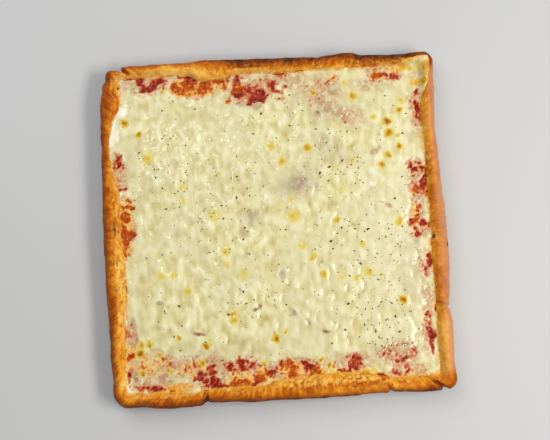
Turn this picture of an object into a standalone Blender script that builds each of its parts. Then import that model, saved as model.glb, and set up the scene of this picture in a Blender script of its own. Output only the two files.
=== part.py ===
"""Square pan pizza: a thick dough base with a rolled rim, tomato sauce in its well, and melted cheese
with dried herb flakes on top. Metres, +Z up, the origin under the middle of the base."""

import math
import random

import bmesh
import bpy
from mathutils import Vector, noise
from mathutils.bvhtree import BVHTree

# Dough: overall size and the rolled rim
HALF_X = 0.1975              # mean of the rim's widest line, left and right
HALF_Y = 0.1990              # the same, front and back
RIM_HEIGHT = 0.0300          # crest of the rim above the table
RIM_WIDTH = 0.0200           # widest line to the edge of the well
WELL_FLOOR = 0.0175          # dough under the sauce
CORNER_RADII = (0.0135, 0.0160, 0.0210, 0.0125)   # back right, back left, front left, front right
SMALLEST_RADIUS = 0.004
RIM_UNEVEN_HEIGHT = 0.0011
RIM_UNEVEN_WIDTH = 0.0012
COLUMNS_A_SIDE = 40

# Rim profile from the underside out, up, over the crest and down to the well:
# inset as a share of the rim's width, height as a share of its height
RIM_PROFILE = (
    (0.200, 0.000),
    (0.055, 0.110),
    (0.000, 0.350),
    (0.030, 0.590),
    (0.130, 0.790),
    (0.290, 0.930),
    (0.490, 1.000),
    (0.690, 0.950),
    (0.850, 0.810),
    (0.950, 0.680),
    (1.000, WELL_FLOOR / RIM_HEIGHT),
)

# Sauce and cheese
SAUCE_TOP = 0.0198
SAUCE_BUMP = 0.0013
SAUCE_RINGS = (0.0165, 0.0240, 0.0310, 0.0380)    # insets of the rings of points
SAUCE_LEVEL_MARGIN = 0.0100  # the sauce is level this far out from the cheese's edge
SAUCE_COLUMNS_A_SIDE = 30
CHEESE_THICKNESS = 0.0032
CHEESE_EDGE_THICKNESS = 0.0012
CHEESE_WAVE = 0.0009
CHEESE_EDGE_INSET = 0.0215
LAP_THICKNESS = 0.0010
LAP_CLEARANCE = 0.0050       # how far round a point the dough under a lap is felt for
CHEESE_GRID = 40
CHEESE_FINER_EDGE = 0.3      # how much closer the rows lie at the edge than in the middle
GAP = 0.0003                 # left between touching pieces
CUT_GAP = 0.00045            # growth of a cutter, so that GAP is left beside its creases too

# Herb flakes
FLAKE_COUNT = 76
FLAKE_LENGTHS = (0.0036, 0.0021)    # largest and smallest
FLAKE_SPACING = 0.0125
FLAKE_MARGIN = 0.006         # cheese left all round a flake
HERB_REACH = 0.155           # the herb falls this far from the middle
HERB_SEED = 7

# Sides in turn, anticlockwise from above
RIGHT, BACK, LEFT, FRONT = range(4)

# How far the rim's widest line stands out of the mean rectangle: place along the side, amount out
EDGE_WAVES = {
    RIGHT: ((-0.190, 0.0012), (-0.170, -0.0006), (-0.130, 0.0004), (-0.108, -0.0012), (-0.050, 0.0020),
            (0.0, 0.0020), (0.050, -0.0010), (0.115, -0.0031), (0.160, -0.0008), (0.188, 0.0)),
    BACK: ((-0.184, -0.0078), (-0.174, -0.0034), (-0.100, -0.0015), (-0.074, 0.0002), (0.0, -0.0005),
           (0.060, -0.0014), (0.096, 0.0020), (0.114, -0.0014), (0.147, -0.0026), (0.188, 0.0)),
    LEFT: ((-0.172, -0.0016), (-0.130, -0.0004), (-0.050, 0.0015), (0.0, 0.0020), (0.100, 0.0004),
           (0.150, -0.0006), (0.176, -0.0040), (0.188, -0.0078)),
    FRONT: ((-0.174, -0.0016), (-0.130, 0.0020), (-0.097, 0.0016), (-0.088, -0.0016), (-0.030, 0.0004),
            (0.050, 0.0014), (0.115, 0.0001), (0.124, -0.0003), (0.160, 0.0020), (0.188, 0.0012)),
}

# Creases where the dough was folded: side, place along it, lean along the side for each metre
# inwards, depth, half width
FOLDS = (
    (BACK, -0.179, 0.35, 0.0050, 0.0030),
    (BACK, 0.060, 0.00, 0.0012, 0.0025),
    (RIGHT, -0.107, -0.10, 0.0026, 0.0026),
    (FRONT, -0.092, -0.45, 0.0036, 0.0028),
    (FRONT, 0.121, 0.05, 0.0028, 0.0024),
    (FRONT, 0.184, -0.45, 0.0036, 0.0030),
)

# Bays, where the cheese stops short and sauce shows: side, middle, half width, depth
BAYS = (
    (BACK, -0.134, 0.017, 0.015),
    (BACK, -0.080, 0.040, 0.026),
    (BACK, -0.034, 0.014, 0.020),
    (BACK, 0.012, 0.015, 0.027),
    (BACK, 0.131, 0.022, 0.013),
    (RIGHT, 0.125, 0.012, 0.008),
    (RIGHT, 0.058, 0.011, 0.016),
    (RIGHT, -0.008, 0.015, 0.017),
    (RIGHT, -0.127, 0.022, 0.010),
    (FRONT, 0.072, 0.018, 0.016),
    (FRONT, 0.010, 0.040, 0.021),
    (FRONT, -0.050, 0.022, 0.026),
    (LEFT, -0.138, 0.016, 0.014),
    (LEFT, 0.015, 0.040, 0.014),
)

# Laps, where the cheese has run up onto the rim: side, middle, half width, reach
LAPS = (
    (LEFT, 0.105, 0.042, 0.0110),
    (BACK, 0.190, 0.020, 0.0115),
    (RIGHT, 0.186, 0.024, 0.0115),
    (FRONT, -0.108, 0.010, 0.0040),
)

# Where the herb fell most thickly: middle and radius of each patch
HERB_PATCHES = (
    (-0.118, 0.064, 0.030),
    (0.030, 0.118, 0.034),
    (0.068, 0.062, 0.020),
    (0.086, -0.022, 0.034),
    (0.104, -0.090, 0.030),
    (0.130, -0.028, 0.026),
    (0.124, -0.122, 0.020),
    (-0.044, 0.012, 0.034),
    (-0.036, -0.086, 0.030),
)


def clear_objects():
    for found in list(bpy.data.objects):
        bpy.data.objects.remove(found, do_unlink=True)


def make_material(name, colour, roughness):
    material = bpy.data.materials.new(name)
    material.use_nodes = True
    shader = material.node_tree.nodes["Principled BSDF"]
    shader.inputs["Base Color"].default_value = (*colour, 1.0)
    shader.inputs["Roughness"].default_value = roughness
    shader.inputs["Metallic"].default_value = 0.0
    return material


def smooth(value):
    """0 below 0, 1 above 1, with an even start and end between them."""
    value = min(max(value, 0.0), 1.0)
    return value * value * (3.0 - 2.0 * value)


def wave(x, y, size, layer):
    """Smooth unevenness between about -1 and 1, with swells of the given size."""
    return 1.6 * noise.noise(Vector((x / size, y / size, layer)))


def between(points, place):
    """The value at a place, eased from one of the given points to the next."""
    if place <= points[0][0]:
        return points[0][1]
    for (start, low), (end, high) in zip(points, points[1:]):
        if place <= end:
            return low + (high - low) * smooth((place - start) / (end - start))
    return points[-1][1]


def hump(place, middle, half_width):
    """1 in the middle, falling evenly to 0 a little past the half width."""
    return smooth(1.5 - abs(place - middle) / half_width)


# A turn runs from 0 to 4 round the pizza: the side's number, and the share of it gone by.
def side_and_place(turn):
    """Which side a turn is on, and the place along it: x for back and front, y for right and left."""
    side = int(turn) % 4
    across = 2.0 * (turn - int(turn)) - 1.0
    if side in (BACK, LEFT):
        across = -across
    half = HALF_Y if side in (RIGHT, LEFT) else HALF_X
    return side, across * half


def turn_of(side, place):
    """The turn at a place along a side."""
    half = HALF_Y if side in (RIGHT, LEFT) else HALF_X
    across = place / half
    if side in (BACK, LEFT):
        across = -across
    return side + 0.5 * (across + 1.0)


def outline_point(turn, inset):
    """A point of the rounded rectangle that lies the given distance inside the mean widest line."""
    side, place = side_and_place(turn)
    half_x = HALF_X - inset
    half_y = HALF_Y - inset
    if side in (RIGHT, LEFT):
        x = half_x if side == RIGHT else -half_x
        y = place / HALF_Y * half_y
    else:
        x = place / HALF_X * half_x
        y = half_y if side == BACK else -half_y
    corner = (0 if y > 0 else 3) if x > 0 else (1 if y > 0 else 2)
    radius = max(CORNER_RADII[corner] - inset, SMALLEST_RADIUS)
    past_x = abs(x) - (half_x - radius)
    past_y = abs(y) - (half_y - radius)
    if past_x > 0 and past_y > 0:
        share = past_y / radius if side in (RIGHT, LEFT) else 2.0 - past_x / radius
        angle = math.radians(45.0) * share
        x = math.copysign(half_x - radius + radius * math.cos(angle), x)
        y = math.copysign(half_y - radius + radius * math.sin(angle), y)
    return x, y


def edge_wave(turn):
    """How far the widest line stands out of the mean rectangle here, blended past each corner."""
    side, place = side_and_place(turn)
    return between(EDGE_WAVES[side], place)


def crease(turn, inset):
    """How far a folded crease draws the dough in here."""
    side, place = side_and_place(turn)
    depth = 0.0
    for fold_side, middle, lean, fold_depth, half_width in FOLDS:
        if fold_side == side:
            offset = (place - middle - lean * inset) / half_width
            depth = max(depth, fold_depth * math.exp(-offset * offset))
    return depth


def rim_point(turn, share_in, share_up):
    """A point of the dough's surface: turn round the pizza, and place on the rim's profile."""
    inset = share_in * RIM_WIDTH
    x, y = outline_point(turn, inset)
    outer = 1.0 - smooth(share_in)
    inner = smooth(share_in)
    fold = crease(turn, inset)
    inset -= outer * (edge_wave(turn) + 0.3 * RIM_UNEVEN_WIDTH * wave(x, y, 0.022, 1.0))
    inset += inner * RIM_UNEVEN_WIDTH * wave(x, y, 0.030, 2.0)
    inset += outer * fold
    height = share_up * RIM_HEIGHT
    raised = smooth(share_up) * math.sin(math.pi * min(share_in / 0.98, 1.0))
    height += raised * RIM_UNEVEN_HEIGHT * (wave(x, y, 0.045, 3.0) + 0.5 * wave(x, y, 0.016, 4.0))
    height -= raised * 0.8 * fold
    if share_up == 0.0:
        height = 0.0
    if share_in == 1.0:
        height = WELL_FLOOR
    x, y = outline_point(turn, inset)
    return Vector((x, y, height))


def crust_turns():
    """The turns of the dough's columns: even ones, with more round each corner and fold."""
    turns = [side + step / COLUMNS_A_SIDE for side in range(4) for step in range(COLUMNS_A_SIDE)]
    for corner in range(4):
        turns += [(corner + offset) % 4.0 for offset in (-0.037, -0.0125, 0.0125, 0.037)]
    for side, place, lean, depth, half_width in FOLDS:
        for offset in (-1.9, -0.9, 0.0, 0.9, 1.9):
            turns.append(turn_of(side, place + offset * half_width) % 4.0)
    turns.sort()
    kept = [turns[0]]
    for turn in turns[1:]:
        if turn - kept[-1] > 0.004:
            kept.append(turn)
    return kept


def closed_rings(mesh_name, rings):
    """A closed mesh through rings of points, each with as many as the last, and flat ends."""
    mesh = bmesh.new()
    loops = [[mesh.verts.new(point) for point in ring] for ring in rings]
    count = len(loops[0])
    for lower, upper in zip(loops, loops[1:]):
        for step in range(count):
            after = (step + 1) % count
            mesh.faces.new((lower[step], lower[after], upper[after], upper[step]))
    mesh.faces.new(list(reversed(loops[0])))
    mesh.faces.new(loops[-1])
    bmesh.ops.recalc_face_normals(mesh, faces=mesh.faces)
    data = bpy.data.meshes.new(mesh_name)
    mesh.to_mesh(data)
    mesh.free()
    return data


def add_object(name, data, material):
    made = bpy.data.objects.new(name, data)
    bpy.context.scene.collection.objects.link(made)
    data.materials.append(material)
    data.shade_smooth()
    data.set_sharp_from_angle(angle=math.radians(50))
    return made


def make_crust(name, material):
    turns = crust_turns()
    rings = [[rim_point(turn, *place) for turn in turns] for place in RIM_PROFILE]
    return add_object(name, closed_rings(name, rings), material)


def grown_cutter(source, name):
    """A hidden copy of a piece, grown all round, that cuts room for it out of its neighbours."""
    cutter = source.copy()
    cutter.data = source.data.copy()
    cutter.name = name
    bpy.context.scene.collection.objects.link(cutter)
    grow = cutter.modifiers.new("grow", "DISPLACE")
    grow.direction = "NORMAL"
    grow.mid_level = 0.0
    grow.strength = CUT_GAP
    cutter.hide_render = True
    cutter.display_type = "WIRE"
    return cutter


def apply_modifiers(piece):
    depsgraph = bpy.context.evaluated_depsgraph_get()
    result = bpy.data.meshes.new_from_object(piece.evaluated_get(depsgraph), depsgraph=depsgraph)
    piece.modifiers.clear()
    piece.data = result


def cut(piece, cutter):
    boolean = piece.modifiers.new(cutter.name, "BOOLEAN")
    boolean.operation = "DIFFERENCE"
    boolean.solver = "EXACT"
    boolean.object = cutter
    apply_modifiers(piece)


def lap_reach(turn):
    """How far the cheese has run up onto the rim here."""
    side, place = side_and_place(turn)
    laps = [reach * hump(place, middle, half_width)
            for lap_side, middle, half_width, reach in LAPS if lap_side == side]
    return max(laps, default=0.0)


def cheese_edge_inset(turn):
    """How far inside the widest line the cheese ends: further in a bay, less on a lap."""
    side, place = side_and_place(turn)
    bays = [depth * hump(place, middle, half_width)
            for bay_side, middle, half_width, depth in BAYS if bay_side == side]
    return CHEESE_EDGE_INSET + max(bays, default=0.0) - lap_reach(turn)


def sauce_height(turn, inset, x, y):
    """The sauce's top: lumpy where it shows in a bay, level under the cheese and close to it."""
    step = 1.0 / SAUCE_COLUMNS_A_SIDE
    edge = min(cheese_edge_inset((turn + offset) % 4.0) for offset in (-step, 0.0, step))
    if inset > edge - SAUCE_LEVEL_MARGIN:
        return SAUCE_TOP
    return SAUCE_TOP + SAUCE_BUMP * max(0.6 + 0.6 * wave(x, y, 0.015, 5.0), 0.0)


def make_sauce(name, material):
    turns = [step / SAUCE_COLUMNS_A_SIDE for step in range(4 * SAUCE_COLUMNS_A_SIDE)]
    rings = [[Vector((*outline_point(turn, SAUCE_RINGS[0]), WELL_FLOOR + GAP)) for turn in turns]]
    for inset in SAUCE_RINGS:
        places = [(turn, *outline_point(turn, inset)) for turn in turns]
        rings.append([Vector((x, y, sauce_height(turn, inset, x, y))) for turn, x, y in places])
    return add_object(name, closed_rings(name, rings), material)


def surface_tree(piece):
    surface = bmesh.new()
    surface.from_mesh(piece.data)
    tree = BVHTree.FromBMesh(surface)
    surface.free()
    return tree


def height_at(tree, x, y):
    """The height of a surface seen from straight above, 0 where there is none."""
    hit = tree.ray_cast(Vector((x, y, 1.0)), Vector((0.0, 0.0, -1.0)))[0]
    return hit.z if hit else 0.0


def cheese_height(x, y, share_out):
    """The cheese's top over the sauce: waves in the middle, and thinner towards its edge."""
    middle = 1.0 - smooth((share_out - 0.80) / 0.20)
    thickness = CHEESE_EDGE_THICKNESS + (CHEESE_THICKNESS - CHEESE_EDGE_THICKNESS) * middle
    swell = 0.7 * wave(x, y, 0.060, 6.0) + 0.5 * wave(x, y, 0.022, 7.0)
    return SAUCE_TOP + GAP + thickness + CHEESE_WAVE * swell * (0.35 + 0.65 * middle)


def lap_height(crust_tree, x, y):
    """The top of cheese that lies over the rim, clear of the highest dough close by."""
    steps = (-LAP_CLEARANCE, 0.0, LAP_CLEARANCE)
    return LAP_THICKNESS + max(height_at(crust_tree, x + i, y + j) for i in steps for j in steps)


def make_cheese(name, material, crust):
    crust_tree = surface_tree(crust)
    mesh = bmesh.new()
    bmesh.ops.create_grid(mesh, x_segments=CHEESE_GRID, y_segments=CHEESE_GRID, size=1.0)
    for vert in mesh.verts:
        u, v = vert.co.x, vert.co.y
        square_out = max(abs(u), abs(v))
        share_out = square_out * (1.0 + CHEESE_FINER_EDGE * (1.0 - square_out))
        if square_out < 1e-6:
            vert.co = Vector((0.0, 0.0, cheese_height(0.0, 0.0, 0.0)))
            continue
        if abs(u) >= abs(v):
            turn = turn_of(RIGHT if u > 0 else LEFT, v / square_out * HALF_Y)
        else:
            turn = turn_of(BACK if v > 0 else FRONT, u / square_out * HALF_X)
        turn %= 4.0
        edge = cheese_edge_inset(turn)
        inset = CHEESE_EDGE_INSET + (edge - CHEESE_EDGE_INSET) * share_out ** 6
        x, y = outline_point(turn, inset)
        x, y = x * share_out, y * share_out
        height = cheese_height(x, y, share_out)
        if lap_reach(turn) > 0.0:
            height = max(height, lap_height(crust_tree, x, y))
        vert.co = Vector((x, y, height))
    base = SAUCE_TOP + CUT_GAP
    border = [edge for edge in mesh.edges if edge.is_boundary]
    walls = bmesh.ops.extrude_edge_only(mesh, edges=border)["geom"]
    lower = [item for item in walls if isinstance(item, bmesh.types.BMVert)]
    for vert in lower:
        vert.co.z = base
    rim = [edge for edge in mesh.edges if edge.is_boundary]
    bmesh.ops.contextual_create(mesh, geom=rim)
    bmesh.ops.recalc_face_normals(mesh, faces=mesh.faces)
    data = bpy.data.meshes.new(name)
    mesh.to_mesh(data)
    mesh.free()
    return add_object(name, data, material)


def on_cheese(tree, x, y):
    """Whether there is cheese here and for the margin all round."""
    steps = (-FLAKE_MARGIN, 0.0, FLAKE_MARGIN)
    return min(height_at(tree, x + i, y + j) for i in steps for j in steps) > 0.0


def flake_places(tree):
    """Places of the herb flakes with their lengths, largest first, no two closer than the spacing."""
    draw = random.Random(HERB_SEED)
    places = []
    while len(places) < FLAKE_COUNT:
        if draw.random() < 0.6:
            x, y, radius = draw.choice(HERB_PATCHES)
            angle = draw.uniform(0.0, 2.0 * math.pi)
            reach = radius * math.sqrt(draw.random())
            x += reach * math.cos(angle)
            y += reach * math.sin(angle)
        else:
            x = draw.uniform(-HERB_REACH, HERB_REACH)
            y = draw.uniform(-HERB_REACH, HERB_REACH)
        clear = min((math.hypot(x - u, y - v) for u, v, length in places), default=1.0)
        if clear < FLAKE_SPACING or not on_cheese(tree, x, y):
            continue
        share = len(places) / FLAKE_COUNT
        length = FLAKE_LENGTHS[0] + (FLAKE_LENGTHS[1] - FLAKE_LENGTHS[0]) * share
        places.append((x, y, length))
    return places


def make_flake(index, x, y, z, length, draw):
    """One bent, uneven scrap of leaf, a fifth as thick as it is long."""
    mesh = bmesh.new()
    bmesh.ops.create_icosphere(mesh, subdivisions=1, radius=0.5)
    width = draw.uniform(0.50, 0.75)
    heading = draw.uniform(0.0, math.pi)
    for vert in mesh.verts:
        along = vert.co.x * draw.uniform(0.85, 1.15)
        across = vert.co.y * width * draw.uniform(0.80, 1.20)
        up = 0.32 * vert.co.z + 0.25 * along * along
        turned_x = along * math.cos(heading) - across * math.sin(heading)
        turned_y = along * math.sin(heading) + across * math.cos(heading)
        vert.co = Vector((turned_x, turned_y, up)) * length
    data = bpy.data.meshes.new("herb flake %02d" % index)
    mesh.to_mesh(data)
    mesh.free()
    flake = bpy.data.objects.new(data.name, data)
    flake.location = (x, y, z)
    return flake


def fuse_flakes(cheese):
    """Joins the herb flakes to the cheese they lie on, by one union."""
    tree = surface_tree(cheese)
    herbs = bpy.data.collections.new("herb flakes")
    bpy.context.scene.collection.children.link(herbs)
    draw = random.Random(HERB_SEED + 1)
    for index, (x, y, length) in enumerate(flake_places(tree)):
        herbs.objects.link(make_flake(index, x, y, height_at(tree, x, y), length, draw))
    union = cheese.modifiers.new("flakes", "BOOLEAN")
    union.operation = "UNION"
    union.solver = "EXACT"
    union.operand_type = "COLLECTION"
    union.collection = herbs
    apply_modifiers(cheese)
    for flake in list(herbs.objects):
        bpy.data.objects.remove(flake, do_unlink=True)
    bpy.data.collections.remove(herbs)


def main():
    clear_objects()
    crust = make_crust("crust", make_material("baked dough", (0.55, 0.22, 0.045), 0.62))
    sauce = make_sauce("sauce", make_material("tomato sauce", (0.33, 0.035, 0.010), 0.35))
    melted = make_material("melted cheese", (0.76, 0.68, 0.38), 0.42)
    cheese = make_cheese("cheese", melted, crust)
    cutter = grown_cutter(crust, "room for the crust")
    cut(sauce, cutter)
    cut(cheese, cutter)
    bpy.data.objects.remove(cutter, do_unlink=True)
    fuse_flakes(cheese)


main()
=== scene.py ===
import math
import random

import bmesh
import bpy
import numpy as np
from mathutils import Euler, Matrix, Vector, noise
from mathutils.bvhtree import BVHTree


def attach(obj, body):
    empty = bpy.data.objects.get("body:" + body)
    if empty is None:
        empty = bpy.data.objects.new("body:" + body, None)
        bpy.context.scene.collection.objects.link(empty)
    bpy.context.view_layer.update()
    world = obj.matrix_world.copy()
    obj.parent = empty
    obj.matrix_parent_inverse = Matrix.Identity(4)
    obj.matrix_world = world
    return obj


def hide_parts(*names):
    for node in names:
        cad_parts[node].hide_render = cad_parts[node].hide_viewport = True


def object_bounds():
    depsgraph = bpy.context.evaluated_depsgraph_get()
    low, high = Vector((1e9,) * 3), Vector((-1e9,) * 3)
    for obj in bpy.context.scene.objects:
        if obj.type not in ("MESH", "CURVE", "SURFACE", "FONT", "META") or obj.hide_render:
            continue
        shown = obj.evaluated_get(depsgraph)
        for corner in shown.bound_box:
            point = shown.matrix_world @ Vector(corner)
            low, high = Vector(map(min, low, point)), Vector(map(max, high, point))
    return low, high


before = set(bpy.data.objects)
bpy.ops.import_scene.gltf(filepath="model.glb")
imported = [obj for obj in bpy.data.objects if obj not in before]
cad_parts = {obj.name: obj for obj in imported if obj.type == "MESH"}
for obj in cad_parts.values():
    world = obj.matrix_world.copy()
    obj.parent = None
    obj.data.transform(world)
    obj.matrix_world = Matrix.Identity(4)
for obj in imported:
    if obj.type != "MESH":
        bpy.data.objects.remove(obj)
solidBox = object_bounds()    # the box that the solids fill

# Sizes are in metres, the numbers in lists of marks in millimetres, and colours go from 0 to 255.

# Small tools shared by all pieces


def colour(red, green, blue):
    # a screen colour, 0 to 255, as the linear colour that shaders take
    parts = [part / 255.0 for part in (red, green, blue)]
    linear = [part / 12.92 if part <= 0.04045 else ((part + 0.055) / 1.055) ** 2.4 for part in parts]
    return (*linear, 1.0)


def smooth(value):
    # 0 below 0, 1 above 1, with an even start and end between them
    value = np.clip(value, 0.0, 1.0)
    return value * value * (3.0 - 2.0 * value)


def eased(points, place):
    # the value at each place, eased from one of the given points to the next
    places = np.array([point[0] for point in points])
    values = np.array([point[1] for point in points])
    index = np.clip(np.searchsorted(places, place) - 1, 0, len(places) - 2)
    share = smooth((place - places[index]) / (places[index + 1] - places[index]))
    return values[index] + (values[index + 1] - values[index]) * share


def hump(place, middle, halfWidth):
    # 1 in the middle, falling evenly to 0 a little past the half width
    return smooth(1.5 - np.abs(place - middle) / halfWidth)


def swell(x, y, size, layer):
    # the soft unevenness that shaped the solids too
    places = np.stack([np.ravel(x) / size, np.ravel(y) / size, np.full(np.size(x), float(layer))], axis=1)
    return 1.6 * np.array([noise.noise(place) for place in places.tolist()]).reshape(np.shape(x))


grainDraw = np.random.default_rng(23)    # the fixed draw behind grain and webbed
grainOrder = grainDraw.permutation(256)
grainWays = grainDraw.normal(size=(256, 3))
grainWays /= np.linalg.norm(grainWays, axis=1)[:, None]


def grain(x, y, size, layer=0.0, lengthwise=1.0):
    # finer unevenness, between about -1 and 1, drawn out along y where lengthwise is above 1
    places = np.stack([x / size, y / (size * lengthwise), np.full(np.shape(x), layer * 7.37)], axis=-1)
    cell = np.floor(places).astype(int)
    part = places - cell
    ease = part ** 3 * (part * (part * 6.0 - 15.0) + 10.0)
    total = np.zeros(np.shape(x))
    for corner in range(8):
        step = np.array([corner & 1, corner >> 1 & 1, corner >> 2 & 1])
        key = grainOrder[(cell[..., 0] + step[0]) & 255]
        key = grainOrder[(key + cell[..., 1] + step[1]) & 255]
        key = grainOrder[(key + cell[..., 2] + step[2]) & 255]
        weight = np.prod(np.where(step == 1, ease, 1.0 - ease), axis=-1)
        total += weight * ((part - step) * grainWays[key]).sum(axis=-1)
    return 1.7 * total


def webbed(x, y, size, layer=0):
    # a loose net of strands: 0 on the strands, growing to about 1 amid the meshes
    nearest = np.full(np.shape(x), 9.0)
    second = np.full(np.shape(x), 9.0)
    cellX, cellY = np.floor(x / size).astype(int), np.floor(y / size).astype(int)
    for stepX in (-1, 0, 1):
        for stepY in (-1, 0, 1):
            key = grainOrder[(cellX + stepX + 31 * layer) & 255]
            key = grainOrder[(key + cellY + stepY) & 255]
            awayX = cellX + stepX + 0.5 + 0.5 * grainWays[key, 0] - x / size
            awayY = cellY + stepY + 0.5 + 0.5 * grainWays[key, 1] - y / size
            away = np.hypot(awayX, awayY)
            second = np.minimum(second, np.maximum(nearest, away))
            nearest = np.minimum(nearest, away)
    return second - nearest


# marks are placed from the middle of the photo's pizza, as seen at the height of the rim
marking = {
    "shift": (-2.2, -0.35),      # from the origin to that middle, in millimetres
    "further": 0.010,            # how much further out, as a share, the marks down in the well lie
    "foot": (-0.067, -0.086),    # the point straight below the camera
}


def seenPlaces(x, y):
    # the places of the well as seen at the height of the rim
    footX, footY = marking["foot"]
    return x - marking["further"] * (x - footX), y - marking["further"] * (y - footY)


def marked(x, y, marks):
    # how strongly the nearest mark shows
    # a mark is x, y, half length, half width, then its strength if that isn't 1, then its heading if turned
    shown = np.zeros(np.shape(x))
    shiftX, shiftY = marking["shift"]
    for markX, markY, halfLength, halfWidth, *rest in marks:
        strength = rest[0] if rest else 1.0
        heading = math.radians(rest[1]) if len(rest) > 1 else 0.0
        awayX = x * 1000.0 - markX - shiftX
        awayY = y * 1000.0 - markY - shiftY
        along = (awayX * math.cos(heading) + awayY * math.sin(heading)) / halfLength
        across = (awayY * math.cos(heading) - awayX * math.sin(heading)) / halfWidth
        shown = np.maximum(shown, strength * smooth(1.5 - np.hypot(along, across)))
    return shown


class Wire:
    # a socket that can be added, multiplied and so on in plain sums
    def __init__(self, tree, socket):
        self.tree = tree
        self.socket = socket

    def sum(self, operation, first, second, clamp=False):
        settings = {"operation": operation, "use_clamp": clamp}
        return self.tree.node("ShaderNodeMath", settings, {0: first, 1: second})

    def __add__(self, other):
        return self.sum("ADD", self, other)

    __radd__ = __add__

    def __sub__(self, other):
        return self.sum("SUBTRACT", self, other)

    def __rsub__(self, other):
        return self.sum("SUBTRACT", other, self)

    def __mul__(self, other):
        return self.sum("MULTIPLY", self, other)

    __rmul__ = __mul__

    def __truediv__(self, other):
        return self.sum("DIVIDE", self, other)

    def __rtruediv__(self, other):
        return self.sum("DIVIDE", other, self)

    def held(self):
        # kept between 0 and 1
        return self.sum("ADD", self, 0.0, clamp=True)


class Tree:
    # a node tree of either kind, filled with one method
    def __init__(self, nodes):
        self.tree = nodes

    def node(self, kind, settings=None, sockets=None, out=0):
        made = self.tree.nodes.new(kind)
        for name, value in (settings or {}).items():
            setattr(made, name, value)
        for name, value in (sockets or {}).items():
            if isinstance(value, Wire):
                self.tree.links.new(value.socket, made.inputs[name])
            else:
                made.inputs[name].default_value = value
        return Wire(self, made.outputs[out]) if made.outputs else None

    def ask(self, name):
        # a value stored on the mesh
        return self.node("ShaderNodeAttribute", {"attribute_name": name}, out="Fac")

    def place(self, stretch=(1.0, 1.0, 1.0)):
        where = self.node("ShaderNodeTexCoord", out="Object")
        if stretch == (1.0, 1.0, 1.0):
            return where
        return self.node("ShaderNodeMapping", {}, {"Vector": where, "Scale": stretch})

    def noise(self, size, detail=2.0, roughness=0.5, stretch=(1.0, 1.0, 1.0), warp=0.0):
        sockets = {"Vector": self.place(stretch), "Scale": 1.0 / size, "Detail": detail}
        sockets.update({"Roughness": roughness, "Distortion": warp})
        return self.node("ShaderNodeTexNoise", {}, sockets, "Fac")

    def step(self, value, low, high):
        # eased from 0 to 1 while the value goes from low to high
        sockets = {0: value, 1: low, 2: high}
        return self.node("ShaderNodeMapRange", {"interpolation_type": "SMOOTHSTEP"}, sockets)

    def mix(self, share, first, second):
        sockets = {0: share, 6: first, 7: second}
        return self.node("ShaderNodeMix", {"data_type": "RGBA"}, sockets, 2)

    def ramp(self, value, stops):
        # a run of colours: place and colour of each stop
        made = self.node("ShaderNodeValToRGB", {}, {0: value})
        band = made.socket.node.color_ramp
        band.interpolation = "EASE"
        for place, stopColour in stops[2:]:
            band.elements.new(place)
        for element, (place, stopColour) in zip(band.elements, sorted(stops)):
            element.position = place
            element.color = stopColour
        return made

    def bump(self, height, distance, strength=1.0):
        sockets = {"Height": height, "Distance": distance, "Strength": strength}
        return self.node("ShaderNodeBump", {}, sockets)


def newMaterial(name, fixed):
    # a Principled material; the fixed values are set straight on its sockets
    material = bpy.data.materials.new(name)
    material.use_nodes = True
    shader = material.node_tree.nodes["Principled BSDF"]
    for socket, value in fixed.items():
        shader.inputs[socket].default_value = value
    return material, Tree(material.node_tree), shader


def feed(tree, shader, **wires):
    # joins wires to the shader's sockets
    names = {"base": "Base Color", "roughness": "Roughness", "normal": "Normal", "coat": "Coat Weight"}
    for name, wire in wires.items():
        tree.tree.links.new(wire.socket, shader.inputs[names[name]])


def newMesh(name, points, faces):
    data = bpy.data.meshes.new(name)
    data.from_pydata(np.asarray(points).reshape(-1, 3).tolist(), [], faces)
    data.update()
    return data


def keep(data, name, values):
    # stores one value for each point of a mesh
    layer = data.attributes.new(name, "FLOAT", "POINT")
    layer.data.foreach_set("value", np.asarray(values, dtype=np.float32).ravel())


def newPiece(name, data, material):
    piece = bpy.data.objects.new(name, data)
    bpy.context.scene.collection.objects.link(piece)
    data.materials.clear()
    data.materials.append(material)
    return piece


def newGroup(name, sizes, seeds=()):
    # a geometry node group with named inputs; also gives a way to ask for each of them
    group = bpy.data.node_groups.new(name, "GeometryNodeTree")
    face = group.interface
    face.new_socket("Geometry", in_out="INPUT", socket_type="NodeSocketGeometry")
    for size in sizes:
        face.new_socket(size, in_out="INPUT", socket_type="NodeSocketFloat")
    for seed in seeds:
        face.new_socket(seed, in_out="INPUT", socket_type="NodeSocketInt")
    face.new_socket("Finish", in_out="INPUT", socket_type="NodeSocketMaterial")
    face.new_socket("Geometry", in_out="OUTPUT", socket_type="NodeSocketGeometry")
    tree = Tree(group)
    entry = tree.node("NodeGroupInput").socket.node

    def given(socket):
        return Wire(tree, entry.outputs[socket])

    return tree, given


def endGroup(tree, geometry, material):
    # the last nodes of a group: real geometry with its material
    real = tree.node("GeometryNodeRealizeInstances", {}, {"Geometry": geometry})
    finish = tree.node("GeometryNodeSetMaterial", {}, {"Geometry": real, "Material": material})
    tree.node("NodeGroupOutput", {}, {0: finish})
    return tree.tree


def addGroup(piece, name, group, values):
    # runs a geometry node group on a piece and keeps the plain mesh that comes out
    modifier = piece.modifiers.new(name, "NODES")
    modifier.node_group = group
    setInputs(modifier, {**values, "Finish": piece.data.materials[0]})
    settled(piece)


def setInputs(modifier, values):
    for item in modifier.node_group.interface.items_tree:
        if item.item_type == "SOCKET" and item.in_out == "INPUT" and item.name in values:
            modifier[item.identifier] = values[item.name]


def settled(piece):
    # turns the piece and its modifiers into a plain mesh
    depsgraph = bpy.context.evaluated_depsgraph_get()
    result = bpy.data.meshes.new_from_object(piece.evaluated_get(depsgraph), depsgraph=depsgraph)
    result.name = piece.name
    piece.modifiers.clear()
    piece.data = result


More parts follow.
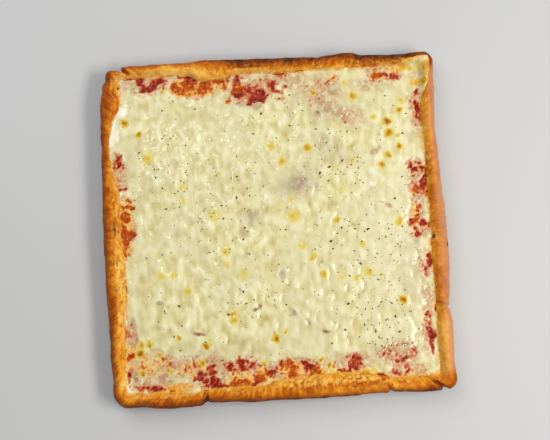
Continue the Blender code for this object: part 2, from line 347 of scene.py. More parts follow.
def surfaceOf(data):
    points = [tuple(vert.co) for vert in data.vertices]
    return BVHTree.FromPolygons(points, [tuple(face.vertices) for face in data.polygons])


def heightsOver(tree, x, y):
    # the height of a surface at each place, 0 where there is none
    heights = np.zeros(np.size(x))
    down = Vector((0.0, 0.0, -1.0))
    for index, (placeX, placeY) in enumerate(zip(np.ravel(x).tolist(), np.ravel(y).tolist())):
        hit = tree.ray_cast(Vector((placeX, placeY, 1.0)), down)[0]
        if hit:
            heights[index] = hit.z
    return heights.reshape(np.shape(x))


# Dough

rightSide, backSide, leftSide, frontSide = range(4)

dough = {
    "halfX": 0.1975,
    "halfY": 0.1990,
    "rimHeight": 0.0300,
    "rimWidth": 0.0200,
    "wellFloor": 0.0175,
    "cornerRadii": (0.0135, 0.0160, 0.0210, 0.0125),    # back right, back left, front left, front right
    "smallestRadius": 0.004,
    "unevenHeight": 0.0011,
    "unevenWidth": 0.0012,
    "footSwell": 0.022,             # sizes of the unevenness at the foot, in the well and in height
    "wellSwell": 0.030,
    "heightSwells": (0.045, 0.016),
    # the rim's section from the underside out, over the crest and down to the well
    "profile": (
        (0.200, 0.000), (0.055, 0.110), (0.000, 0.350), (0.030, 0.590), (0.130, 0.790), (0.290, 0.930),
        (0.490, 1.000), (0.690, 0.950), (0.850, 0.810), (0.950, 0.680), (1.000, 0.0175 / 0.0300),
    ),
    "edgeWaves": {
        rightSide: ((-0.190, 0.0012), (-0.170, -0.0006), (-0.130, 0.0004), (-0.108, -0.0012),
                    (-0.050, 0.0020), (0.0, 0.0020), (0.050, -0.0010), (0.115, -0.0031), (0.160, -0.0008),
                    (0.188, 0.0)),
        backSide: ((-0.184, -0.0078), (-0.174, -0.0034), (-0.100, -0.0015), (-0.074, 0.0002), (0.0, -0.0005),
                   (0.060, -0.0014), (0.096, 0.0020), (0.114, -0.0014), (0.147, -0.0026), (0.188, 0.0)),
        leftSide: ((-0.172, -0.0016), (-0.130, -0.0004), (-0.050, 0.0015), (0.0, 0.0020), (0.100, 0.0004),
                   (0.150, -0.0006), (0.176, -0.0040), (0.188, -0.0078)),
        frontSide: ((-0.174, -0.0016), (-0.130, 0.0020), (-0.097, 0.0016), (-0.088, -0.0016),
                    (-0.030, 0.0004), (0.050, 0.0014), (0.115, 0.0001), (0.124, -0.0003), (0.160, 0.0020),
                    (0.188, 0.0012)),
    },
    # side, place, lean along the side, depth, half width
    "folds": (
        (backSide, -0.179, 0.35, 0.0050, 0.0030),
        (backSide, 0.060, 0.00, 0.0012, 0.0025),
        (rightSide, -0.107, -0.10, 0.0026, 0.0026),
        (frontSide, -0.092, -0.45, 0.0036, 0.0028),
        (frontSide, 0.121, 0.05, 0.0028, 0.0024),
        (frontSide, 0.184, -0.45, 0.0036, 0.0030),
    ),
    "columnsASide": 300,
    "stepsAcross": 54,
    # how much wider the rim's inner slope is
    "innerWaves": {
        rightSide: ((-0.190, 0.0016), (0.060, 0.0010), (0.100, 0.0022), (0.150, 0.0022), (0.190, 0.0)),
        backSide: ((-0.188, 0.0), (-0.104, 0.0), (-0.090, 0.0080), (-0.052, 0.0075), (-0.036, 0.0010),
                   (0.188, 0.0)),
        leftSide: ((-0.188, 0.0), (-0.110, 0.0012), (-0.080, 0.0036), (-0.020, 0.0034), (0.0, 0.0),
                   (0.124, 0.0), (0.146, 0.0070), (0.168, 0.0080), (0.184, 0.0040)),
        frontSide: ((-0.188, 0.0), (-0.030, 0.0), (-0.004, 0.0060), (0.050, 0.0090), (0.105, 0.0085),
                    (0.124, 0.0010), (0.188, 0.0)),
    },
    "crest": 5.6,    # how far along the section's points its crest comes
    # how brown the section is, foot to well, and what each side adds on its wall, crest and inner slope
    "toastAcross": (0.92, 0.86, 0.80, 0.76, 0.69, 0.58, 0.45, 0.33, 0.24, 0.20, 0.18),
    # the right wall's negative toast makes it paler, partly as painted light from that side
    "toastAdded": {
        rightSide: (-0.14, -0.02, 0.15), backSide: (0.06, 0.20, 0.03),
        leftSide: (-0.04, -0.04, 0.01), frontSide: (0.06, 0.07, 0.01),
    },
    # where each pair of sides begins to count as near, and over what distance
    "nearX": (0.172, 0.008),
    "nearY": (0.170, 0.010),
    "relief": {
        "Coarse Size": 0.0130, "Coarse Depth": 0.00100, "Medium Size": 0.0052, "Medium Depth": 0.00042,
        "Fine Size": 0.0019, "Fine Depth": 0.00016, "Crag Size": 0.0052, "Crag Depth": 0.0028,
    },
    "boxGap": 0.0001,    # the relief stays this far inside the solids' own box
}

# where the rim is craggy with baked-on drips
cragMarks = [
    (118, 188, 18, 6, 1, -4), (148, 187, 16, 5, 0.8), (100, 190, 9, 5, 0.6), (60, 187, 8, 3, 0.35),
    (-70, 189, 10, 4, 0.3), (30, -183, 34, 9, 0.8), (80, -183, 28, 9, 0.95), (112, -184, 9, 7, 0.9),
    (135, -186, 8, 4, 0.6), (-60, -184, 14, 3, 0.5), (183, 60, 4, 20, 0.4), (184, -25, 3, 12, 0.5),
    (-183, -60, 3, 50, 0.45), (-184, 30, 4, 26, 0.5), (183, -150, 3, 24, 0.3),
]

# smears of sauce on the rim
smearMarks = [
    (118, 185, 14, 4, 1, -12), (112, 187, 6, 3, 0.8), (128, 181, 5, 3, 0.8), (150, 183.5, 12, 1.5, 0.6, 2),
    (105, 181, 5, 1.5, 0.7), (133, 190, 8, 3, 0.4), (100, 192, 8, 3, 0.3), (-186, 50, 6, 12, 0.6),
    (-187, 25, 5, 18, 0.35), (36, -185, 8, 2, 0.4, -20), (62, -185, 5, 2, 0.4), (108, -189, 5, 1.3, 0.5),
    (70, -193.5, 5, 2.5, 0.5), (-57, -184, 7, 1.4, 0.5, -5), (135, -186, 6, 2, 0.7, -20),
    (141, -189, 3, 1.4, 0.9), (100, -186, 6, 1.5, 0.6, -15), (20, -183, 10, 2, 0.5), (122, -188, 2, 5, 0.6),
    (183, -30, 3, 4, 0.5), (181, 80, 2, 3, 0.5), (180, 66, 2, 4, 0.6),
]

# small scorched places
scorchMarks = [
    (183, -22, 1.8, 3), (199, -32, 1.5, 3, 0.9), (122, -187, 1.5, 4, 0.6), (-84, -188, 1.2, 5, 0.5, -40),
    (-182, 5, 1.5, 8, 0.5, 5), (-181, -30, 1.2, 9, 0.5), (-183, -66, 1.2, 6, 0.4), (188, -107, 5, 1.2, 0.5),
]

# browner, or below 0 paler, stretches of the rim; the last number is how much is added
toastMarks = [
    (-112, 188, 58, 12, -0.31), (-187, -120, 8, 34, 0.09), (-181, 30, 7, 34, 0.11),
    (-179, 152, 8, 22, 0.14), (140, 191, 40, 6, 0.12), (-186, 50, 12, 55, 0.03), (120, 188, 26, 6, 0.03),
    (186, -150, 12, 34, -0.18), (184, 90, 6, 60, -0.05), (60, -192, 100, 6, -0.16),
    (110, -193, 70, 5, -0.1), (-60, -186, 40, 5, 0.05), (190, -4, 9, 14, 0.06), (0, 190, 40, 5, 0.06),
]

# bright, oily gold on the inner slope
goldMarks = [
    (-179, -55, 5, 62), (-181, 172, 5, 8, 0.7), (-110, 183, 46, 6, 1, 1), (-70, 177, 22, 7),
    (-30, 182, 50, 3, 0.6), (30, -179, 60, 6, 0.9), (60, -176, 54, 7), (-140, -183, 40, 4, 0.6),
    (184, -150, 4, 36, 0.6), (70, 181, 20, 3, 0.6), (150, 183, 18, 3, 0.5),
]


def sideAndPlace(turn):
    # a turn runs from 0 to 4 round the pizza: the side's number and the share of it gone by
    side = turn.astype(int) % 4
    across = 2.0 * (turn - np.floor(turn)) - 1.0
    across = np.where((side == backSide) | (side == leftSide), -across, across)
    half = np.where((side == rightSide) | (side == leftSide), dough["halfY"], dough["halfX"])
    return side, across * half


def outlinePoints(side, place, inset):
    # points of the rounded rectangle, inset from the mean widest line
    halfX = dough["halfX"] - inset
    halfY = dough["halfY"] - inset
    upright = (side == rightSide) | (side == leftSide)
    x = np.where(upright, np.where(side == rightSide, halfX, -halfX), place / dough["halfX"] * halfX)
    y = np.where(upright, place / dough["halfY"] * halfY, np.where(side == backSide, halfY, -halfY))
    backRight, backLeft, frontLeft, frontRight = dough["cornerRadii"]
    radius = np.where(x > 0, np.where(y > 0, backRight, frontRight), np.where(y > 0, backLeft, frontLeft))
    radius = np.maximum(radius - inset, dough["smallestRadius"])
    pastX = np.abs(x) - (halfX - radius)
    pastY = np.abs(y) - (halfY - radius)
    angle = math.radians(45.0) * np.where(upright, pastY / radius, 2.0 - pastX / radius)
    roundX = np.copysign(halfX - radius + radius * np.cos(angle), x)
    roundY = np.copysign(halfY - radius + radius * np.sin(angle), y)
    corner = (pastX > 0) & (pastY > 0)
    return np.where(corner, roundX, x), np.where(corner, roundY, y)


def creaseDepth(side, place, inset):
    # how deep the nearest fold cuts in
    depth = np.zeros(np.shape(inset))
    for foldSide, middle, lean, foldDepth, halfWidth in dough["folds"]:
        offset = (place - middle - lean * inset) / halfWidth
        depth = np.maximum(depth, np.where(side == foldSide, foldDepth * np.exp(-offset * offset), 0.0))
    return depth


def fineProfile(steps):
    # the rim's section as a smooth line with even steps; also how far along the given points each step is
    given = np.array(dough["profile"])
    ends = np.vstack([2 * given[0] - given[1], given, 2 * given[-1] - given[-2]])
    run = np.linspace(0.0, len(given) - 1.0001, 600)
    index = run.astype(int)
    t = (run - index)[:, None]
    a, b, c, d = ends[index], ends[index + 1], ends[index + 2], ends[index + 3]
    square, cube = 2 * a - 5 * b + 4 * c - d, 3 * b - 3 * c + d - a
    line = 0.5 * (2 * b + (c - a) * t + square * t ** 2 + cube * t ** 3)
    real = line * (dough["rimWidth"], dough["rimHeight"])
    gone = np.concatenate([[0.0], np.cumsum(np.hypot(*np.diff(real, axis=0).T))])
    even = np.linspace(0.0, gone[-1], steps)
    shares = np.stack([np.interp(even, gone, line[:, 0]), np.interp(even, gone, line[:, 1])], axis=1)
    shares[0] = given[0]
    shares[-1] = given[-1]
    return np.clip(shares, 0.0, None), np.interp(even, gone, run)


def reliefTree():
    # geometry nodes: pushes a surface along its normal by three sizes of unevenness, and crags where asked
    tree, given = newGroup("doughRelief", dough["relief"])

    def stored(name):
        return tree.node("GeometryNodeInputNamedAttribute", {"data_type": "FLOAT"}, {"Name": name})

    def layer(name, detail):
        where = tree.node("GeometryNodeInputPosition")
        sockets = {"Vector": where, "Scale": 1.0 / given(name + " Size"), "Detail": detail}
        return tree.node("ShaderNodeTexNoise", {}, sockets, "Fac")

    push = (layer("Coarse", 1.0) - 0.62) * given("Coarse Depth") * 2.0
    push = push + (layer("Medium", 1.0) - 0.62) * given("Medium Depth") * 2.0
    push = push + (layer("Fine", 2.0) - 0.62) * given("Fine Depth") * 2.0
    crag = layer("Crag", 2.0) - 0.56
    push = push * stored("loose") + crag * given("Crag Depth") * 2.0 * stored("crag")
    normal = tree.node("GeometryNodeInputNormal")
    offset = tree.node("ShaderNodeVectorMath", {"operation": "SCALE"}, {0: normal, "Scale": push})
    moved = tree.node("GeometryNodeSetPosition", {}, {"Geometry": given("Geometry"), "Offset": offset})
    return endGroup(tree, moved, given("Finish"))


def doughMaterial():
    material, tree, shader = newMaterial("bakedDough", {"Specular IOR Level": 0.10})
    toast = tree.ask("toast")
    broad = tree.noise(0.024, 3.0, 0.55) - 0.5
    blotch = tree.noise(0.0085, 4.0, 0.60, warp=0.4) - 0.5
    streak = tree.noise(0.0022, 3.0, 0.6, stretch=(1.0, 1.0, 0.16)) - 0.5
    speck = tree.noise(0.0014, 2.0, 0.6) - 0.5
    wall = tree.ask("wall")
    crag = tree.ask("crag")
    # a painted sheen: the pale pink band on the right wall, under which the noise is calmer
    paintedSheen = tree.ask("paintedSheen")
    calm = 1.0 - paintedSheen * 0.5
    toasted = toast + (broad * 0.36 + blotch * 0.30 + speck * 0.30) * calm + streak * wall * 0.45
    base = tree.ramp(toasted.held(), [
        (0.00, colour(255, 218, 132)), (0.18, colour(250, 188, 74)), (0.34, colour(234, 150, 32)),
        (0.50, colour(202, 106, 8)), (0.66, colour(162, 74, 4)), (0.84, colour(106, 44, 4)),
        (1.00, colour(56, 26, 8)),
    ])
    gold = tree.step(tree.ask("gold") + blotch * 1.1, 0.25, 0.80)
    oily = tree.mix(tree.step(blotch, -0.06, 0.08), colour(236, 150, 22), colour(254, 210, 104))
    base = tree.mix(gold * 0.60, base, oily)
    inner = tree.ask("inner")
    bubble = tree.noise(0.0060, 5.0, 0.64, warp=0.8)
    crust = tree.noise(0.0080, 5.0, 0.68, warp=0.5)
    base = tree.mix(tree.step(bubble, 0.52, 0.64) * (0.12 + inner * 0.34) * calm, base, colour(254, 206, 104))
    base = tree.mix(tree.step(crust, 0.53, 0.64) * (0.22 + inner * 0.30) * calm, base, colour(182, 84, 4))
    baked = tree.noise(0.0056, 5.0, 0.68, warp=0.8)
    base = tree.mix(tree.step(baked, 0.51, 0.59) * crag * 0.90, base, colour(168, 72, 6))
    base = tree.mix(tree.step(baked, 0.485, 0.42) * crag * (0.06 + inner * 0.84), base, colour(255, 212, 88))
    fleck = tree.step(tree.noise(0.0023, 3.0, 0.7) + blotch * 0.3, 0.65, 0.72)
    base = tree.mix(fleck * 0.55, base, colour(112, 48, 8))
    # the painted sheen of light from the right, mixed in as a pale pink
    base = tree.mix((paintedSheen + blotch * paintedSheen * 1.8).held() * 0.92, base, colour(208, 152, 110))
    smear = tree.step(tree.ask("smear") + blotch * 1.3 + speck * 0.8, 0.38, 0.62)
    base = tree.mix(smear * 0.45, base, colour(178, 70, 20))
    scorch = tree.step(tree.ask("scorch") + blotch * 1.0, 0.30, 0.75)
    base = tree.mix(scorch * 0.85, base, colour(80, 38, 18))
    height = blotch * 0.5 + streak * wall * 0.6 + speck * 0.4 + bubble * 0.5
    height = height + baked * crag * 1.2 - fleck * 0.25
    rough = 0.60 - gold * 0.24 - smear * 0.20 + speck * 0.2
    feed(tree, shader, base=base, roughness=rough, normal=tree.bump(height, 0.0011, 0.8))
    return material


def doughRings():
    # rings of points round the pizza, foot to well, and what the colours ask about each point
    turns = np.arange(4 * dough["columnsASide"]) / dough["columnsASide"]
    side, place = sideAndPlace(turns)
    side, place = side[:, None], place[:, None]
    shares, run = fineProfile(dough["stepsAcross"])
    shareIn, shareUp = shares[None, :, 0], shares[None, :, 1]
    grid = (len(turns), len(run))
    inset = np.broadcast_to(shareIn * dough["rimWidth"], grid)
    sides = np.broadcast_to(side, grid)
    x, y = outlinePoints(sides, place, inset)
    waves = np.zeros(np.shape(place))
    widened = np.zeros(np.shape(place))
    for number in (rightSide, backSide, leftSide, frontSide):
        waves = np.where(side == number, eased(dough["edgeWaves"][number], place), waves)
        widened = np.where(side == number, eased(dough["innerWaves"][number], place), widened)
    inner = smooth(shareIn)
    outer = 1.0 - inner
    fold = creaseDepth(sides, place, inset)
    moved = inset - outer * (waves + 0.3 * dough["unevenWidth"] * swell(x, y, dough["footSwell"], 1.0))
    moved = moved + inner * (widened + dough["unevenWidth"] * swell(x, y, dough["wellSwell"], 2.0))
    moved = moved + outer * fold
    raised = smooth(shareUp) * np.sin(np.pi * np.minimum(shareIn / 0.98, 1.0))
    broad, small = dough["heightSwells"]
    uneven = swell(x, y, broad, 3.0) + 0.5 * swell(x, y, small, 4.0)
    z = shareUp * dough["rimHeight"] + raised * (dough["unevenHeight"] * uneven - 0.8 * fold)
    x, y = outlinePoints(sides, place, moved)
    points = np.stack([x, y, z], axis=-1).transpose(1, 0, 2)
    facts = {"run": run[:, None], "along": np.broadcast_to(place, grid).T, "inward": inset.T, "fold": fold.T}
    return points, facts


def ringFaces(rings, count):
    # four-sided faces from ring to ring, then one face under the foot and one across the well
    lower = np.arange(count)
    after = (lower + 1) % count
    faces = []
    for ring in range(rings - 1):
        first, second = ring * count, (ring + 1) * count
        faces += np.stack([first + lower, first + after, second + after, second + lower], axis=1).tolist()
    faces.append(lower[::-1].tolist())
    faces.append(((rings - 1) * count + lower).tolist())
    return faces


def doughValues(x, y, run, along, inward, fold):
    # what the material and the relief read
    # run goes from 0 at the foot, over the crest, to 10 in the well
    run = np.broadcast_to(run, x.shape)
    wallPart = smooth((5.0 - run) / 1.4)
    crestPart = hump(run, dough["crest"], 1.5)
    innerPart = smooth((run - dough["crest"]) / 1.6)
    (startX, easeX), (startY, easeY) = dough["nearX"], dough["nearY"]
    near = {
        rightSide: smooth((x - startX) / easeX), backSide: smooth((y - startY) / easeY),
        leftSide: smooth((-startX - x) / easeX), frontSide: smooth((-startY - y) / easeY),
    }
    toast = np.interp(run, np.arange(len(dough["toastAcross"])), dough["toastAcross"])
    for number, (onWall, onCrest, onInner) in dough["toastAdded"].items():
        added = onWall * wallPart + onCrest * crestPart + onInner * innerPart
        toast = toast + added * near[number]
    drips = grain(along, inward, 0.0032, 21.0, 3.5) + 0.6 * grain(along, inward, 0.0075, 22.0, 1.6)
    ropes = grain(inward, along, 0.0030, 23.0, 5.0) + 0.5 * grain(inward, along, 0.0055, 24.0, 3.0)
    ropy = near[leftSide] * innerPart
    toast = toast + 0.08 * grain(x, y, 0.035, 1.0) + 0.30 * ropy * ropes
    toast = toast + 0.17 * drips * (1.0 - ropy) * (1.0 - 0.6 * near[rightSide]) * smooth((run - 4.0) / 1.5)
    # painted shade: the rim is made darker along each fold's crease
    toast = toast + 0.21 * np.minimum(fold / 0.003, 1.0)
    for *mark, amount in toastMarks:
        toast = toast + amount * marked(x, y, [mark])
    # a pale pink band on the right wall and the front wall's right end: a painted sheen of light from that
    # side
    pale = np.maximum(near[rightSide], 0.5 * near[frontSide] * smooth((x - 0.110) / 0.02))
    paintedSheen = pale * smooth((7.9 - run) / 4.6) * (0.95 - 0.35 * grain(x, y, 0.03, 25.0))
    paintedSheen = paintedSheen * smooth((0.185 - np.abs(y)) / 0.012)
    loose = smooth(run / 0.5) * smooth((9.8 - run) / 0.8)    # where the relief may move the surface
    return {
        "inner": innerPart, "paintedSheen": np.clip(paintedSheen, 0.0, 1.0), "toast": toast,
        "wall": smooth((4.6 - run) / 1.6) * (run > 0.01),
        "smear": marked(x, y, smearMarks),
        "scorch": marked(x, y, scorchMarks) * smooth((run - 2.0) / 2.0),
        "gold": marked(x, y, goldMarks) * smooth((run - 5.2) / 1.6),
        "loose": loose,
        "crag": marked(x, y, cragMarks) * smooth((run - 3.5) / 2.0) * loose,
    }


def makeDough():
    points, facts = doughRings()
    rings, count = points.shape[:2]
    data = newMesh("crustDough", points, ringFaces(rings, count))
    data.shade_smooth()
    for cap in (-1, -2):
        data.polygons[len(data.polygons) + cap].use_smooth = False
    for name, value in doughValues(points[..., 0], points[..., 1], **facts).items():
        keep(data, name, value)
    piece = newPiece("crustDough", data, doughMaterial())
    addGroup(piece, "relief", reliefTree(), dough["relief"])
    gap = dough["boxGap"]
    lowest = np.array(solidBox[0]) + (gap, gap, 0.0)
    highest = np.array(solidBox[1]) - gap
    places = np.array([vert.co for vert in piece.data.vertices])
    piece.data.vertices.foreach_set("co", np.clip(places, lowest, highest).ravel())
    print("dough:", len(piece.data.polygons), "faces")
    return piece


# Sauce

sauce = {
    "top": 0.0198,
    "bottom": 0.0178,
    "reach": (0.1815, 0.1830),        # half width and half depth of the layer
    "step": 0.0014,
    "tuck": 0.0010,                   # how far the layer runs on into the dough
    "lump": 0.0011,                   # height and size of the lumps
    "lumpSize": 0.015,
    "pulp": 0.00045,                  # height and sizes of the pulp
    "pulpSizes": (0.0042, 0.0022),
}

# places where oil and browned cheese turn the sauce and the thin cheese orange
orangeMarks = [
    (-100, 162, 16, 10), (-75, 162, 16, 9), (-55, 165, 10, 7, 0.8), (-35, 160, 9, 9, 0.6),
    (-47, 145, 4, 3, 0.8), (45, 176, 8, 3, 0.5), (76, 168, 8, 2.5, 0.7, 30), (152, 176, 16, 5, 0.9),
    (128, 168, 9, 7, 0.6), (164, 178, 6, 5, 0.6), (54, 152, 3, 3, 0.6), (-130, 172, 4, 5, 0.45),
    (-173, 15, 13, 30, 0.75), (-172, -15, 9, 14, 0.9), (-158, -15, 6, 4, 0.8), (-183, 50, 8, 10, 0.6),
    (-172, -135, 12, 12, 0.7), (-165, -150, 8, 4, 0.5), (-147, -155, 6, 3, 0.4), (-125, -176, 10, 6, 0.9),
    (-112, -181, 8, 4, 0.7), (-50, -172, 18, 10, 0.75), (-25, -168, 8, 9, 0.8), (8, -165, 14, 12, 0.85),
    (38, -172, 14, 10, 0.8), (68, -174, 12, 6, 0.8), (92, -177, 10, 7, 0.9), (55, -178, 20, 5, 0.9),
    (15, -178, 20, 5, 0.7), (-92, -151, 6, 8, 0.8), (-148, -150, 20, 16, 0.5), (-108, -158, 14, 12, 0.45),
    (54, -163, 4, 4, 0.8), (43, -156, 3, 3, 0.9), (78, -160, 7, 7, 0.4), (110, -182, 14, 3, 0.8),
    (145, -177, 7, 3, 0.7), (161, 3, 5, 18, 0.6), (163, 31, 4, 5, 0.9), (163, 10, 3, 3, 0.9),
    (163, 1, 3, 3, 0.8), (176, -153, 3, 3, 0.6),
]


def gridOf(reach, step):
    # places on an even grid, from -reach to reach both ways
    lines = [np.linspace(-half, half, int(round(2 * half / step)) + 1) for half in reach]
    return np.meshgrid(*lines, indexing="ij")


def layerMesh(name, x, y, z, shown, floorZ, values):
    # a closed layer: a surface over the shown cells of a grid, walls round them and a flat bottom
    rows, columns = x.shape
    number = np.arange(rows * columns).reshape(rows, columns)
    corners = [number[:-1, :-1], number[1:, :-1], number[1:, 1:], number[:-1, 1:]]
    faces = np.stack([corner[shown] for corner in corners], axis=1)
    used = np.unique(faces)
    renumber = np.full(rows * columns, -1)
    renumber[used] = np.arange(len(used))
    points = np.stack([x, y, z], axis=-1).reshape(-1, 3)[used]
    data = newMesh(name, points, renumber[faces].tolist())
    for valueName, value in values.items():
        keep(data, valueName, value.ravel()[used])
    mesh = bmesh.new()
    mesh.from_mesh(data)
    border = [edge for edge in mesh.edges if edge.is_boundary]
    walls = bmesh.ops.extrude_edge_only(mesh, edges=border)["geom"]
    for vert in (item for item in walls if isinstance(item, bmesh.types.BMVert)):
        vert.co.z = floorZ
    lower = [edge for edge in mesh.edges if edge.is_boundary]
    made = bmesh.ops.triangle_fill(mesh, edges=lower, use_beauty=False, normal=(0.0, 0.0, -1.0))["geom"]
    for item in made:
        if isinstance(item, bmesh.types.BMFace) and item.normal.z > 0:
            item.normal_flip()
    for face in mesh.faces:
        face.smooth = True
    mesh.to_mesh(data)
    mesh.free()
    return data


def sauceTop(x, y):
    # the lumpy top of the sauce
    coarse, fine = sauce["pulpSizes"]
    lumps = np.maximum(0.6 + 0.6 * swell(x, y, sauce["lumpSize"], 5.0), 0.0) * sauce["lump"]
    pulp = grain(x, y, coarse, 2.0) + 0.6 * grain(x, y, fine, 3.0)
    return sauce["top"] + lumps * 0.8 + sauce["pulp"] * pulp


def sauceMaterial():
    material, tree, shader = newMaterial("tomatoSauce", {
        "Specular IOR Level": 0.12, "Coat Weight": 0.10, "Coat Roughness": 0.07,
    })
    pulp = tree.noise(0.0034, 3.0, 0.6, warp=0.5)
    broad = tree.noise(0.012, 3.0, 0.6)
    fine = tree.noise(0.0013, 2.0, 0.6)
    red = tree.ramp(pulp * 0.8 + broad * 0.2, [
        (0.32, colour(70, 5, 3)), (0.45, colour(116, 13, 6)), (0.56, colour(162, 30, 14)),
        (0.68, colour(208, 84, 48)),
    ])
    brown = tree.ramp(pulp * 0.7 + broad * 0.3, [
        (0.30, colour(112, 30, 2)), (0.45, colour(158, 54, 2)), (0.58, colour(196, 90, 8)),
        (0.72, colour(240, 160, 48)),
    ])
    shred = tree.noise(0.0042, 4.0, 0.68, warp=0.9)
    brown = tree.mix(tree.step(shred, 0.56, 0.68) * 0.45, brown, colour(244, 184, 92))
    red = tree.mix(tree.step(shred, 0.54, 0.66) * 0.42, red, colour(226, 142, 104))
    base = tree.mix(tree.step(tree.ask("orange") + (broad - 0.5) * 0.8, 0.25, 0.65), red, brown)
    feed(tree, shader, base=base, roughness=0.18 + fine * 0.18,
         normal=tree.bump(pulp * 0.8 + fine * 0.4 + shred * 0.5, 0.0009, 0.9))
    return material


def makeSauce(crustTree):
    x, y = gridOf(sauce["reach"], sauce["step"])
    under = heightsOver(crustTree, x, y)
    z = sauceTop(x, y)
    clear = z - under > -sauce["tuck"]
    shown = clear[:-1, :-1] | clear[1:, :-1] | clear[1:, 1:] | clear[:-1, 1:]
    values = {"orange": marked(*seenPlaces(x, y), orangeMarks)}
    data = layerMesh("tomatoSauce", x, y, z, shown, sauce["bottom"], values)
    piece = newPiece("tomatoSauce", data, sauceMaterial())
    print("sauce:", len(data.polygons), "faces")
    return piece


# Cheese

cheese = {
    "reach": (0.1890, 0.1905),
    "step": 0.0013,
    "bottom": 0.0186,
    "edgeInset": 0.0184,
    "cornerBlend": 0.006,            # how softly the edges of two sides meet
    "thickness": 0.0032,
    "edgeThickness": 0.0012,
    "build": 0.036,                  # way from the edge to the full thickness, and to the full relief
    "reliefBuild": 0.013,
    "dip": 0.0022,                   # how far open places lie below the sauce
    "clearance": 0.00015,            # and closed ones at least above it
    "overrun": 0.0022,               # how far the layer runs on past its edge, and how deep it is tucked in
    "tuck": 0.0004,
    "top": 0.0313,                   # never higher than the solid's own laps
    "wave": 0.0009,                  # height and sizes of the broad waves
    "waveSizes": (0.060, 0.022),
    "lump": 0.00102,                 # height and sizes of the curds, and of the domes among them
    "lumpSizes": (0.0066, 0.0034),
    "domeSize": 0.0090,
    "netSizes": (0.0088, 0.0050),    # of the strands over the sauce, and then of the crumbs
    "crumbSizes": (0.0034, 0.0060),
    "warp": (0.004, 0.012),          # depth and size of the bends in strands and domes
    "wobble": (0.0018, 0.0040),      # and of those round toasted spots
    # depth and size of the unevenness that shakes the marks, and of that along the edge
    "shaken": ((0.0016, 0.0065), (0.0007, 0.0026)),
    "ragged": ((0.0035, 0.014), (0.0021, 0.0055)),
    # how much each kind of mark opens the cheese, and how much an island closes it
    "opening": {"bare": 0.56, "skirt": 0.32, "veil": 0.56, "blush": 0.28, "island": 0.40},
    "skirtGrowth": (1.5, 2.6),       # a skirt is this many times its bare mark, and so much more
    "blisterHeight": 0.0005,
    # side, middle, half width, depth
    "bays": (
        (backSide, -0.134, 0.017, 0.015), (backSide, -0.080, 0.040, 0.026), (backSide, -0.034, 0.014, 0.020),
        (backSide, 0.012, 0.015, 0.027), (backSide, 0.131, 0.022, 0.013), (rightSide, 0.125, 0.012, 0.008),
        (rightSide, 0.058, 0.011, 0.016), (rightSide, -0.008, 0.015, 0.017),
        (rightSide, -0.127, 0.022, 0.010), (frontSide, 0.072, 0.018, 0.016), (frontSide, 0.010, 0.040, 0.021),
        (frontSide, -0.050, 0.022, 0.026), (leftSide, -0.138, 0.016, 0.014), (leftSide, 0.015, 0.040, 0.014),
    ),
    # side and points of place and reach over the rim, below 0 where the cheese stays back
    "laps": (
        (leftSide, ((-0.110, 0.0), (-0.080, -0.0030), (-0.020, -0.0030), (0.0, 0.0), (0.045, 0.0),
                    (0.062, 0.0040), (0.077, 0.0058), (0.095, 0.0076), (0.110, 0.0068), (0.125, 0.0030),
                    (0.146, -0.0060), (0.168, -0.0070), (0.184, -0.0030), (0.198, 0.0))),
        (backSide, ((-0.104, 0.0), (-0.090, -0.0066), (-0.052, -0.0062), (-0.036, -0.0008), (0.150, 0.0),
                    (0.168, 0.0072), (0.180, 0.0104), (0.198, 0.0110))),
        (rightSide, ((-0.190, -0.0016), (0.060, -0.0012), (0.100, -0.0022), (0.138, -0.0016), (0.162, 0.0072),
                     (0.176, 0.0104), (0.198, 0.0110))),
        (frontSide, ((-0.122, 0.0), (-0.112, 0.0040), (-0.104, 0.0045), (-0.094, 0.0), (-0.030, 0.0),
                     (-0.004, -0.0050), (0.050, -0.0076), (0.105, -0.0072), (0.124, 0.0))),
    ),
}

